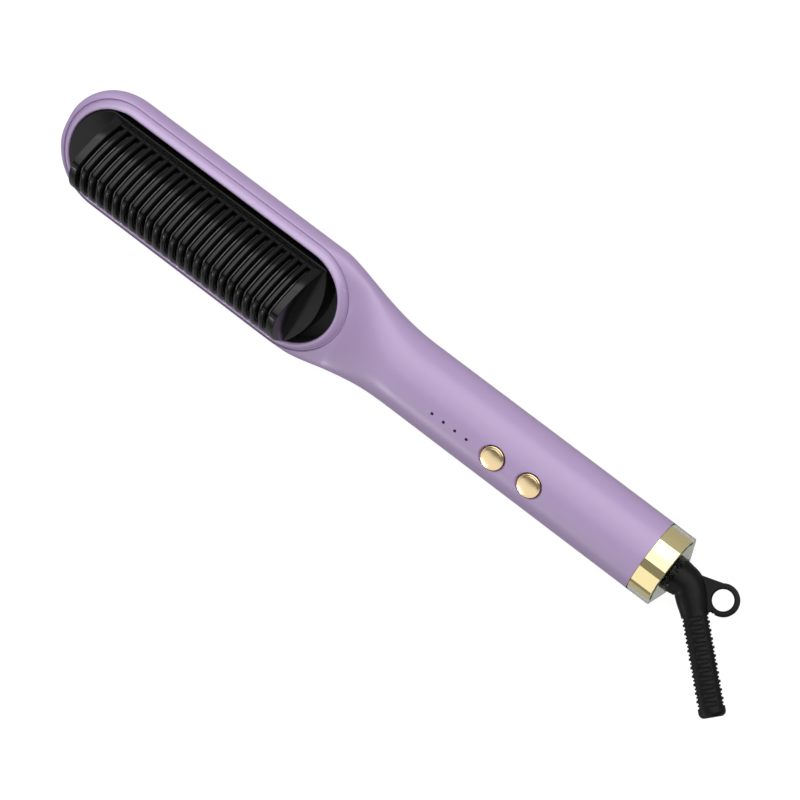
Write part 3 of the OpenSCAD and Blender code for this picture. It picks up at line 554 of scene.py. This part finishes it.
# %% The trim's section swept round the opening
def stadium_sweep(profile, steps=48):
    """A closed section of (radius, height) pairs carried once round the opening."""
    bm = bmesh.new()
    chain(bm, [(TIP_C, radius, z) for radius, z in profile], closed=True)
    strip = bm.verts[:] + bm.edges[:]
    for centre, run in ((TIP_C, END_C - TIP_C), (END_C, TIP_C - END_C)):
        turned = bmesh.ops.spin(bm, geom=strip, cent=(centre, 0, 0), axis=(0, 0, 1),
                                dvec=(0, 0, 0), angle=pi, steps=steps)
        ends = [g for g in turned["geom_last"] if isinstance(g, bmesh.types.BMEdge)]
        moved = bmesh.ops.extrude_edge_only(bm, edges=ends)
        strip = moved["geom"]
        verts = [g for g in strip if isinstance(g, bmesh.types.BMVert)]
        bmesh.ops.translate(bm, vec=(run, 0, 0), verts=verts)
        strip = [g for g in strip if not isinstance(g, bmesh.types.BMFace)]
    bmesh.ops.remove_doubles(bm, verts=bm.verts, dist=1e-3)
    bmesh.ops.recalc_face_normals(bm, faces=bm.faces)
    return bm


TRIM_SECTION = [
    (19.3, 5.9), (19.3, 6.5), (19.36, 6.78), (19.52, 7.05), (19.76, 7.23), (20.02, 7.3),
    (20.35, 7.22), (20.8, 6.85), (21.35, 6.15), (21.85, 5.35), (22.1, 4.85), (22.26, 4.4),
    (22.4, 4.1), (22.72, 3.98), (22.76, 3.9), (22.76, 3.6), (22.1, 3.6), (22.1, -0.2), (20.85, -0.2), (20.85, 5.1), (20.45, 5.9)]
trim = to_object(stadium_sweep(TRIM_SECTION), "opening_trim", LAVENDER_TRIM, "housing",
                 "lavender_trim", "rim_trim", sharp=40)

# %% [markdown]
# ## The comb's cross-section
# Seen from the end, the comb is a pointed arch: two arcs that meet at a ridge, the near one
# flatter than the far one. Ribs, fins and core all follow this arch at different depths, so one
# helper draws it. A vertex swung round an arc's centre draws the arc, which keeps it truly round.

# %% The arch and where its flanks lie
RIDGE_Y = 0.8
COMB_H = 23.2
NEAR_RUN, NEAR_BULGE = 16.0, 3.0
FAR_RUN, FAR_BULGE = 17.5, 4.8
ARC_STEPS = 14


def flank(run, bulge):
    """Radius and centre of the arc from the ridge to a foot that lies run to the side."""
    long = hypot(run, COMB_H)
    radius = ((long / 2) ** 2 + bulge ** 2) / (2 * bulge)
    return (radius, run / 2 - (radius - bulge) * COMB_H / long,
            COMB_H / 2 - (radius - bulge) * run / long)


NEAR, FAR = flank(NEAR_RUN, NEAR_BULGE), flank(FAR_RUN, FAR_BULGE)


def ridge_height(inset):
    """Height above the rim at which the two arcs, drawn smaller by inset, cross."""
    (r1, y1, z1), (r2, y2, z2) = NEAR, FAR
    r1, r2, y2 = r1 - inset, r2 - inset, -y2
    apart = hypot(y2 - y1, z2 - z1)
    along = (apart ** 2 + r1 ** 2 - r2 ** 2) / (2 * apart)
    return z1 + along * (z2 - z1) / apart + sqrt(r1 ** 2 - along ** 2) * (y2 - y1) / apart * (1 if y2 > y1 else -1)


def flank_angle(arc_of, inset, z):
    return asin((z - arc_of[2]) / (arc_of[0] - inset))


def swing(bm, vert, centre, angle):
    """Draws an arc from a vertex round a centre in the Y-Z plane; returns the last vertex."""
    turned = bmesh.ops.spin(bm, geom=[vert], cent=centre, axis=(1, 0, 0), dvec=(0, 0, 0),
                            angle=angle, steps=ARC_STEPS)
    return next(g for g in turned["geom_last"] if isinstance(g, bmesh.types.BMVert))


def arch(bm, x, inset, foot, back=False):
    """Draws the arch at x from foot to foot; returns its first and last vertex."""
    top = ridge_height(inset)
    near_mid = (x, RIDGE_Y + NEAR[1], RIM_Z + NEAR[2])
    far_mid = (x, RIDGE_Y - FAR[1], RIM_Z + FAR[2])
    near_from, near_to = flank_angle(NEAR, inset, foot), flank_angle(NEAR, inset, top)
    far_from, far_to = flank_angle(FAR, inset, top), flank_angle(FAR, inset, foot)
    if back:
        r = FAR[0] - inset
        first = bm.verts.new((x, far_mid[1] - r * cos(far_to), far_mid[2] + r * sin(far_to)))
        middle = swing(bm, first, far_mid, far_to - far_from)
        return first, swing(bm, middle, near_mid, near_from - near_to)
    r = NEAR[0] - inset
    first = bm.verts.new((x, near_mid[1] + r * cos(near_from), near_mid[2] + r * sin(near_from)))
    middle = swing(bm, first, near_mid, near_to - near_from)
    return first, swing(bm, middle, far_mid, far_from - far_to)


def soften_ridge(bm):
    """Rounds the edge along the ridge of a slab, so that it doesn't catch the hair."""
    top = max(v.co.z for v in bm.verts)
    ridge = [e for e in bm.edges if min(v.co.z for v in e.verts) > top - 0.01]
    bmesh.ops.bevel(bm, geom=ridge, offset=1.8, offset_type="OFFSET", segments=4, profile=0.5,
                    affect="EDGES", material=-1, clamp_overlap=True)


def arch_slab(x, thick, inset, foot, inner=None, rounding=0.45):
    """A slab of the arch, solid or open inside an inner arch, with rounded edges."""
    bm = bmesh.new()
    first, last = arch(bm, x, inset, foot)
    if inner is None:
        bm.edges.new((last, first))
    else:
        inner_first, inner_last = arch(bm, x, inner, foot, back=True)
        bm.edges.new((last, inner_first))
        bm.edges.new((inner_last, first))
    bmesh.ops.contextual_create(bm, geom=bm.edges[:])
    made = bmesh.ops.extrude_face_region(bm, geom=bm.faces[:])
    verts = [g for g in made["geom"] if isinstance(g, bmesh.types.BMVert)]
    bmesh.ops.translate(bm, vec=(thick, 0, 0), verts=verts)
    bmesh.ops.recalc_face_normals(bm, faces=bm.faces)
    if inset == 0:
        soften_ridge(bm)
    if rounding:
        caps = [e for e in bm.edges if abs(e.verts[0].co.x - e.verts[1].co.x) < 1e-5]
        bmesh.ops.bevel(bm, geom=caps, offset=rounding, offset_type="OFFSET", segments=3,
                        profile=0.5, affect="EDGES", material=-1, clamp_overlap=True)
    return bm


print("ridge above the rim:", round(ridge_height(0), 2), "fins:", round(ridge_height(2), 2))

# %% [markdown]
# ## The black comb
# The comb is one moulding: a base plate in the opening, 23 thin ribs, a wide closed rib at each
# end and a low curb along each foot. One rib is drawn, rounded and copied along the head. The
# end ribs are solid blocks of the same arch, hollowed from the inside with a smaller one.

# %% Ribs, end ribs and curb
RIB_PITCH = 3.985
RIB_T = 2.0
END_RIB = 3.6
END_WALL = 1.7
RIB_DEPTH = 6.0
GAPS = 24
COMB_X0 = 20.1
COMB_X1 = COMB_X0 + 2 * END_RIB + GAPS * RIB_PITCH - RIB_T
END_DRAFT = 0.5

ribs = arch_slab(COMB_X0 + END_RIB - RIB_T + RIB_PITCH, RIB_T, 0, 0, inner=RIB_DEPTH,
                 rounding=0.8)
one_rib = ribs.verts[:] + ribs.edges[:] + ribs.faces[:]
for i in range(1, GAPS - 1):
    copied = bmesh.ops.duplicate(ribs, geom=one_rib)["geom"]
    moved = [g for g in copied if isinstance(g, bmesh.types.BMVert)]
    bmesh.ops.translate(ribs, vec=(i * RIB_PITCH, 0, 0), verts=moved)
print("thin ribs:", GAPS - 1, "faces:", len(ribs.faces))


def end_rib(x, outward):
    """A closed end rib; outward is -1 at the tip and 1 at the handle."""
    bm = arch_slab(x, END_RIB, 0, 0, rounding=0)
    wall_x = x if outward < 0 else x + END_RIB
    for v in bm.verts:
        if abs(v.co.x - wall_x) < 1e-4:
            v.co.x -= outward * END_DRAFT * (v.co.z - RIM_Z) / COMB_H
    caps = [e for e in bm.edges if abs(e.verts[0].co.x - e.verts[1].co.x) < END_DRAFT + 0.05]
    bmesh.ops.bevel(bm, geom=caps, offset=0.35, offset_type="OFFSET", segments=3, profile=0.5,
                    affect="EDGES", material=-1, clamp_overlap=True)
    hollow_x = x + END_WALL if outward < 0 else x - 1
    hollow = arch_slab(hollow_x, END_RIB - END_WALL + 1, RIB_DEPTH, -2, rounding=0)
    return combine(bm, hollow)


CURB_H = 3.0
CURB_IN = 0.3
CURB_T = 1.1


def curb(arc_of, side):
    """The low bar that joins the feet of the ribs on one flank."""
    bm = bmesh.new()
    reach = [arc_of[1] + sqrt((arc_of[0] - CURB_IN) ** 2 - (z - arc_of[2]) ** 2)
             for z in (0, CURB_H)]
    section = [(reach[0], -0.2), (reach[1], CURB_H), (reach[1] - CURB_T, CURB_H),
               (reach[0] - CURB_T, -0.2)]
    chain(bm, [(COMB_X0 + END_WALL, RIDGE_Y + side * y, RIM_Z + z) for y, z in section], True)
    bmesh.ops.contextual_create(bm, geom=bm.edges[:])
    made = bmesh.ops.extrude_face_region(bm, geom=bm.faces[:])
    verts = [g for g in made["geom"] if isinstance(g, bmesh.types.BMVert)]
    bmesh.ops.translate(bm, vec=(COMB_X1 - COMB_X0 - 2 * END_WALL, 0, 0), verts=verts)
    bmesh.ops.recalc_face_normals(bm, faces=bm.faces)
    long = [e for e in bm.edges if e.calc_length() > 50]
    bmesh.ops.bevel(bm, geom=long, offset=0.25, offset_type="OFFSET", segments=2, profile=0.5,
                    affect="EDGES", material=-1)
    return bm


comb = join(ribs, end_rib(COMB_X0, -1), end_rib(COMB_X1 - END_RIB, 1), curb(NEAR, 1), curb(FAR, -1))

# %% The base plate with its skirt
BASE_HALF = 17.3
BASE_T = 1.5
PAD_R = 18.9
BASE_END = 127.0
END_SAG = 5.4
SKIRT_T = 1.2
FLOOR_Z = -3.0


def base_outline(bm, inset, z):
    """The plate's outline: a round tip, straight sides and a shallow arc at the handle."""
    half, tip_r = BASE_HALF - inset, PAD_R - inset
    end_r = (BASE_HALF ** 2 + END_SAG ** 2) / (2 * END_SAG)
    end_x, end_r = BASE_END - end_r, end_r - inset
    tip_a, end_a = asin(half / tip_r), asin(half / end_r)
    first = bm.verts.new((TIP_C - tip_r * cos(tip_a), half, z))
    turned = bmesh.ops.spin(bm, geom=[first], cent=(TIP_C, 0, z), axis=(0, 0, 1),
                            dvec=(0, 0, 0), angle=2 * tip_a, steps=32)
    tip_last = next(g for g in turned["geom_last"] if isinstance(g, bmesh.types.BMVert))
    start = bm.verts.new((end_x + end_r * cos(end_a), -half, z))
    turned = bmesh.ops.spin(bm, geom=[start], cent=(end_x, 0, z), axis=(0, 0, 1),
                            dvec=(0, 0, 0), angle=2 * end_a, steps=32)
    end_last = next(g for g in turned["geom_last"] if isinstance(g, bmesh.types.BMVert))
    bm.edges.new((tip_last, start))
    bm.edges.new((end_last, first))
    return bmesh.ops.contextual_create(bm, geom=bm.edges[:])


def base_block(inset, low, high, rounding):
    bm = bmesh.new()
    base_outline(bm, inset, low)
    made = bmesh.ops.extrude_face_region(bm, geom=bm.faces[:])
    verts = [g for g in made["geom"] if isinstance(g, bmesh.types.BMVert)]
    bmesh.ops.translate(bm, vec=(0, 0, high - low), verts=verts)
    bmesh.ops.recalc_face_normals(bm, faces=bm.faces)
    if rounding:
        upper = [e for e in bm.edges if all(v.co.z > high - 1e-4 for v in e.verts)]
        bmesh.ops.bevel(bm, geom=upper, offset=rounding, offset_type="OFFSET", segments=3,
                        profile=0.5, affect="EDGES", material=-1)
    return bm


base = base_block(0, FLOOR_Z, RIM_Z, 0.35)
base = combine(base, base_block(SKIRT_T, FLOOR_Z - 1, RIM_Z - BASE_T, 0))
base = combine(base, block((COMB_X0 + END_WALL, -14.2, 0), (COMB_X1 - END_WALL, 14.3, 12)))
for x in (COMB_X0 - 5, COMB_X1 + 2.8):
    base = join(base, lathe([(FLOOR_Z, 1.0), (FLOOR_Z, 2.6), (RIM_Z - BASE_T + 0.1, 2.6),
                             (RIM_Z - BASE_T + 0.1, 1.0)], steps=32, centre=(x, 0, 0), axis=(0, 0, 1)))
comb_piece = to_object(join(comb, base), "comb_ribs_and_base", COMB_BLACK, "housing", "black_comb",
                       "comb_guard", sharp=35)

# %% [markdown]
# ## The heating fins
# Behind the gaps stand thin fins on a common core. Their crests are rounded and coated, so each
# catches one small spot of light. They follow the same arch a little further in.

# %% Fins and core
FIN_T = 1.0
FIN_INSET = 2.0
CORE_Z = 3.0
CORE_INSET = RIB_DEPTH + 0.4

fins = arch_slab(COMB_X0 + END_RIB + (RIB_PITCH - RIB_T - FIN_T) / 2, FIN_T, FIN_INSET, 0.2,
                 rounding=0.42)
one_fin = fins.verts[:] + fins.edges[:] + fins.faces[:]
for i in range(1, GAPS):
    copied = bmesh.ops.duplicate(fins, geom=one_fin)["geom"]
    moved = [g for g in copied if isinstance(g, bmesh.types.BMVert)]
    bmesh.ops.translate(fins, vec=(i * RIB_PITCH, 0, 0), verts=moved)
core_x0, core_x1 = COMB_X0 + END_WALL + 0.5, COMB_X1 - END_WALL - 0.5
core = arch_slab(core_x0, core_x1 - core_x0, CORE_INSET, CORE_Z - RIM_Z, rounding=0)
flange = block((core_x0, -14.5, CORE_Z), (core_x1, 14.5, CORE_Z + 2.4))
plate = to_object(join(fins, core, flange), "heating_fins", FIN_COAT, "housing",
                  "coated_aluminium", "heating_plate", sharp=40)

# %% [markdown]
# ## Buttons, band and collar
# These are all turned parts, so each is an outline spun round its axis. The buttons have a
# bevelled shoulder round a shallow dome. The band is a plain mirror-bright ring, and the clear
# collar over it is a closed ring with a conical end, because glass needs a real thickness.

# %% Two buttons
BUTTON_TOP = 15.4
button_outline = [
    (9.1, 0), (9.1, 1.6), (10.3, 1.6), (10.3, 5.9), (11.3, 5.9), (11.3, 4.75), (14.25, 4.75),
    (14.5, 4.7), (14.68, 4.55), (14.78, 4.3), (14.82, 4.1), (14.95, 3.9), (15.08, 3.3),
    (15.2, 2.6), (15.3, 1.8), (15.37, 0.9), (BUTTON_TOP, 0)]
for name, solid, x, body in (
        ("power_button_cap", "power_button", BUTTON_X[0], "power_key"),
        ("temperature_button_cap", "temperature_button", BUTTON_X[1], "temperature_key")):
    to_object(lathe(button_outline, steps=96, centre=(x, 0, 0), axis=(0, 0, 1)), name,
              GOLD_BUTTON, body, "gold_plated", solid, sharp=28)

# %% Gold band and clear collar
BAND_L = 9.5
COLLAR_IN = 13.8
band = to_object(lathe([
    (HOUSING_L, 12.5), (HOUSING_L, 13.65), (HOUSING_L + 0.1, 13.75),
    (HOUSING_L + BAND_L - 0.25, 13.75), (HOUSING_L + BAND_L, 13.5), (HOUSING_L + BAND_L, 12.5)],
    steps=128), "gold_end_band", GOLD, "housing", "gold_plated", "gold_band")
collar = to_object(lathe([
    (HOUSING_L, COLLAR_IN), (HOUSING_L, 14.9), (HOUSING_L + 0.1, 15.0),
    (HOUSING_L + BAND_L + 0.2, 15.0), (HOUSING_L + BAND_L + 0.5, 14.86),
    (HOUSING_L + BAND_L + 0.7, 14.6), (HOUSING_L + 12.6, 8.0), (HOUSING_L + 12.6, 7.7),
    (HOUSING_L + 11.6, 7.7), (HOUSING_L + BAND_L + 0.2, COLLAR_IN)],
    steps=128), "clear_end_collar", CLEAR, "housing", "clear_resin", "clear_collar", sharp=25)

# %% [markdown]
# ## The cord boot
# The boot leaves the handle, bends once and runs out as a ribbed arm with a hanging loop at the
# bend. It is a row of rings along a bent line, joined ring to ring, so the bend stays round. The
# loop's web is joined on and its hole cut. Each flex slot is cut, and then gets a low bar in its middle.

# %% The boot's bent tube
BEND_X = 299.6
BOOT_X0 = 291.4
BOOT_TURN = radians(151.8)
BOOT_BEND = radians(42.9)
BEND_FILLET = 6.6
ARM_R = 5.1
ARM_L = 49.18
ARM_END_R = 2.0
BOOT = Matrix.Translation((BEND_X, 0, 0)) @ Matrix.Rotation(BOOT_TURN, 4, "X")
ARM = BOOT @ Matrix.Rotation(BOOT_BEND, 4, "Z")


def boot_rings():
    """Place, direction and radius of each ring from the handle to the end of the arm."""
    trim_back = BEND_FILLET * tan(BOOT_BEND / 2)
    neck = [((x, 0), 0.0, r) for x, r in
            ((BOOT_X0 - BEND_X, 7.1), (BOOT_X0 - BEND_X + 0.2, 7.3), (-5.0, 6.95),
             (-trim_back - 0.05, 6.6))]
    steps = 12
    bend = [((-trim_back + BEND_FILLET * sin(a), BEND_FILLET * (1 - cos(a))), a,
             6.6 - 0.5 * a / BOOT_BEND) for a in (BOOT_BEND * i / steps for i in range(1, steps + 1))]
    straight = [(4.0, 6.05), (6.0, 5.9), (8.0, 5.6), (10.0, 5.27), (12.0, 5.12), (14.0, ARM_R),
                (ARM_L - ARM_END_R, ARM_R)]
    end = [(ARM_L - ARM_END_R + ARM_END_R * sin(radians(a)),
            ARM_R - ARM_END_R + ARM_END_R * cos(radians(a))) for a in range(15, 91, 15)]
    arm = [((d * cos(BOOT_BEND), d * sin(BOOT_BEND)), BOOT_BEND, r) for d, r in straight + end]
    return neck + bend + arm


def boot_tube():
    bm = bmesh.new()
    loops = []
    upright = Matrix.Rotation(pi / 2, 4, "Y")
    for (x, y), direction, radius in boot_rings():
        place = BOOT @ Matrix.Translation((x, y, 0)) @ Matrix.Rotation(direction, 4, "Z") @ upright
        made = bmesh.ops.create_circle(bm, segments=72, radius=radius, matrix=place)["verts"]
        loops.append(list({e for v in made for e in v.link_edges}))
    for before, after in zip(loops, loops[1:]):
        bmesh.ops.bridge_loops(bm, edges=before + after)
    for end in (loops[0], loops[-1]):
        bmesh.ops.contextual_create(bm, geom=end)
    bmesh.ops.recalc_face_normals(bm, faces=bm.faces)
    return bm


def rod(start, end, radius, frame_of, steps=48):
    """A round rod along X of a frame, from start to end."""
    bm = lathe([(start, 0), (start, radius), (end, radius), (end, 0)], steps=steps)
    bmesh.ops.transform(bm, matrix=frame_of, verts=bm.verts)
    return bm


# %% The hanging loop and its web
LOOP_C = (13.2, -3.0)
LOOP_R = 4.1
LOOP_OUT = 6.29
LOOP_T = 3.2


def loop_tab():
    half, soft = LOOP_T / 2, 0.7
    disc = lathe([(-half, 0), (-half, LOOP_OUT - soft), (-half + soft * 0.3, LOOP_OUT - soft * 0.3),
                  (-half + soft, LOOP_OUT), (half - soft, LOOP_OUT),
                  (half - soft * 0.3, LOOP_OUT - soft * 0.3), (half, LOOP_OUT - soft), (half, 0)],
                 steps=64, centre=(*LOOP_C, 0), axis=(0, 0, 1))
    web = bmesh.new()
    lean, top = radians(-115), radians(100)
    reach = 11.6
    chain(web, [
        (0.5, 0, -half), (0.8, -5.4, -half),
        (LOOP_C[0] + LOOP_OUT * cos(lean) + 0.6, LOOP_C[1] + LOOP_OUT * sin(lean) + 0.1, -half),
        (*LOOP_C, -half),
        (LOOP_C[0] + LOOP_OUT * cos(top) + 0.2, LOOP_C[1] + LOOP_OUT * sin(top) - 0.1, -half),
        (reach * cos(BOOT_BEND), reach * sin(BOOT_BEND), -half), (4, 2, -half)], closed=True)
    bmesh.ops.contextual_create(web, geom=web.edges[:])
    made = bmesh.ops.extrude_face_region(web, geom=web.faces[:])
    verts = [g for g in made["geom"] if isinstance(g, bmesh.types.BMVert)]
    bmesh.ops.translate(web, vec=(0, 0, LOOP_T), verts=verts)
    bmesh.ops.recalc_face_normals(web, faces=web.faces)
    flat = [e for e in web.edges if abs(e.verts[0].co.z - e.verts[1].co.z) < 1e-4]
    bmesh.ops.bevel(web, geom=flat, offset=0.5, offset_type="OFFSET", segments=3, profile=0.5,
                    affect="EDGES", material=-1)
    tab = combine(disc, web, "UNION")
    bmesh.ops.transform(tab, matrix=BOOT, verts=tab.verts)
    return tab


def loop_hole():
    half, flare = LOOP_T / 2, 0.5
    hole = lathe([(-half - 1, 0), (-half - 1, LOOP_R + flare + 1), (-half + flare, LOOP_R),
                  (half - flare, LOOP_R), (half + 1, LOOP_R + flare + 1), (half + 1, 0)],
                 steps=64, centre=(*LOOP_C, 0), axis=(0, 0, 1))
    bmesh.ops.transform(hole, matrix=BOOT, verts=hole.verts)
    return hole


# %% Flex slots with a bar in each
SLOT_X0, SLOT_PITCH, SLOTS = 12.9, 3.14, 11
SLOT_W, SLOT_T, SLOT_DEEP = 5.8, 2.4, 1.6
BAR_IN, BAR_DOWN = 0.8, 0.35


def slot_plugs(grow, low, high):
    """Rounded plugs at all slots, grown sideways, between two radii."""
    bm = bmesh.new()
    half_t, half_w = SLOT_T / 2 + grow, SLOT_W / 2 + grow
    for quarter in range(4):
        around = Matrix.Rotation(quarter * pi / 2, 4, "X")
        for i in range(SLOTS):
            place = ARM @ around @ Matrix.Translation((SLOT_X0 + i * SLOT_PITCH, 0, low))
            made = bmesh.ops.create_circle(bm, cap_ends=True, segments=14, radius=half_t,
                                           matrix=Matrix.Rotation(pi / 14, 4, "Z"))["verts"]
            for v in made:
                v.co.y += (half_w - half_t) * (1 if v.co.y > 0 else -1)
            face = next(iter(made[0].link_faces))
            up = bmesh.ops.extrude_face_region(bm, geom=[face])
            top = [g for g in up["geom"] if isinstance(g, bmesh.types.BMVert)]
            bmesh.ops.translate(bm, vec=(0, 0, high - low), verts=top)
            bmesh.ops.transform(bm, matrix=place, verts=made + top)
    bmesh.ops.recalc_face_normals(bm, faces=bm.faces)
    return bm


boot = boot_tube()
boot = combine(boot, loop_tab(), "UNION")
boot = combine(boot, loop_hole())
boot = combine(boot, slot_plugs(0, ARM_R - SLOT_DEEP, ARM_R + 2))
boot = combine(boot, slot_plugs(-BAR_IN, ARM_R - SLOT_DEEP - 0.2, ARM_R - BAR_DOWN), "UNION")
boot = combine(boot, rod(11, ARM_L + 1, 3.1, ARM))
boot = combine(boot, rod(BOOT_X0 - BEND_X - 1, BOOT_X0 - BEND_X + 5, 4.9, BOOT))
cord_boot = to_object(boot, "cord_boot_with_loop", BOOT_BLACK, "cord_swivel", "black_rubber",
                      "cord_boot", sharp=38)

# %% [markdown]
# ## Floor, light and camera
# The comb lies on a pale floor. The floor shows white to the camera but
# still takes the soft shadow, so it mixes a lit surface with a steady glow for camera rays. Large
# soft lamps give the plastic long calm reflections at a plain level.

# %% Floor
CAMERA_GLOW = 0.84
GLOSSY_GLOW = 0.08
CLEAR_GLOW = 0.16


def glow_strength(tree, plain, camera, glossy, clear):
    """A strength that is plain for light and higher for the rays that only look at it."""
    rays = node(tree, "LightPath")
    amount = node(tree, "Value")
    amount.outputs[0].default_value = plain
    amount = amount.outputs[0]
    for ray, share in (("Is Camera Ray", camera), ("Is Glossy Ray", glossy),
                       ("Is Transmission Ray", clear)):
        more = node(tree, "Math", operation="MULTIPLY_ADD")
        more.inputs[1].default_value = share
        tree.links.new(rays.outputs[ray], more.inputs[0])
        tree.links.new(amount, more.inputs[2])
        amount = more.outputs[0]
    return amount


def floor_finish():
    material = bpy.data.materials.new("pale floor")
    material.use_nodes = True
    tree = material.node_tree
    link = tree.links.new
    lit = tree.nodes["Principled BSDF"]
    lit.inputs["Base Color"].default_value = (0.26, 0.26, 0.26, 1)
    lit.inputs["Roughness"].default_value = 0.9
    lit.inputs["Specular IOR Level"].default_value = 0.0
    glow = node(tree, "Emission")
    link(glow_strength(tree, 0.0, CAMERA_GLOW, GLOSSY_GLOW, CLEAR_GLOW), glow.inputs["Strength"])
    both = node(tree, "AddShader")
    link(lit.outputs["BSDF"], both.inputs[0])
    link(glow.outputs["Emission"], both.inputs[1])
    link(both.outputs["Shader"], tree.nodes["Material Output"].inputs["Surface"])
    return material


floor_bm = bmesh.new()
bmesh.ops.create_grid(floor_bm, x_segments=1, y_segments=1, size=6.0)
floor = as_object(floor_bm, "floor")
floor.data.materials.append(floor_finish())
floor.location.z = -0.0005

# %% World and lamps
world = bpy.data.worlds.new("studio")
bpy.context.scene.world = world
world.use_nodes = True
background = world.node_tree.nodes["Background"]
background.inputs["Color"].default_value = (1, 1, 1, 1)
world.node_tree.links.new(glow_strength(world.node_tree, 0.12, 0.88, 0.0, CLEAR_GLOW),
                          background.inputs["Strength"])


def panel(name, level, low, high, start=-1.6, end=1.8, away=1.6):
    """A long soft panel beside the comb, between two angles from upright, towards +Y or -Y."""
    middle, half = radians((low + high) / 2), radians(abs(high - low) / 2)
    across, along = 2 * away * tan(half), end - start
    data = bpy.data.lights.new(name, "AREA")
    data.shape, data.size, data.size_y = "RECTANGLE", along, across
    data.energy = level * pi * along * across
    obj = bpy.data.objects.new(name, data)
    obj.location = ((start + end) / 2, away * sin(middle), away * cos(middle))
    obj.rotation_euler = (-middle, 0, 0)
    bpy.context.scene.collection.objects.link(obj)
    print(f"{name}: {along:.1f} x {across:.2f} m, {data.energy:.1f} W")
    return obj


panel("main softbox", 2.3, 45, 75, start=-2.4)
panel("upper softbox", 1.45, 12, 45, start=-2.4)
panel("far softbox", 0.85, -16.5, -76)
panel("low softbox", 2.8, 76, 88)
panel("glint strip", 20.0, -59, -63, start=-0.75, end=-0.15)
tip_lamp = panel("tip softbox", 1.3, -12, 12, start=-0.3, end=0.3)
tip_lamp.location = (-1.6, 0.45, 0.4)
tip_lamp.rotation_euler = Vector((-1.6, 0.45, 0.4)).to_track_quat("Z", "Y").to_euler()

# %% Camera at the photograph's angle
right = Vector((0.7832, 0.4642, -0.4136)).normalized()
up = Vector((-0.5945, 0.7541, -0.2793))
up = (up - up.dot(right) * right).normalized()
back = right.cross(up)
camera_data = bpy.data.cameras.new("camera")
camera_data.sensor_width, camera_data.lens = 36.0, 122.85
camera_data.clip_start, camera_data.clip_end = 0.05, 20.0
camera = bpy.data.objects.new("camera", camera_data)
camera.matrix_world = Matrix.Translation((0.28901, 0.46959, 0.91236)) @ Matrix(
    (right, up, back)).transposed().to_4x4()
bpy.context.scene.collection.objects.link(camera)
bpy.context.scene.camera = camera
bpy.context.scene.view_settings.view_transform = "Standard"
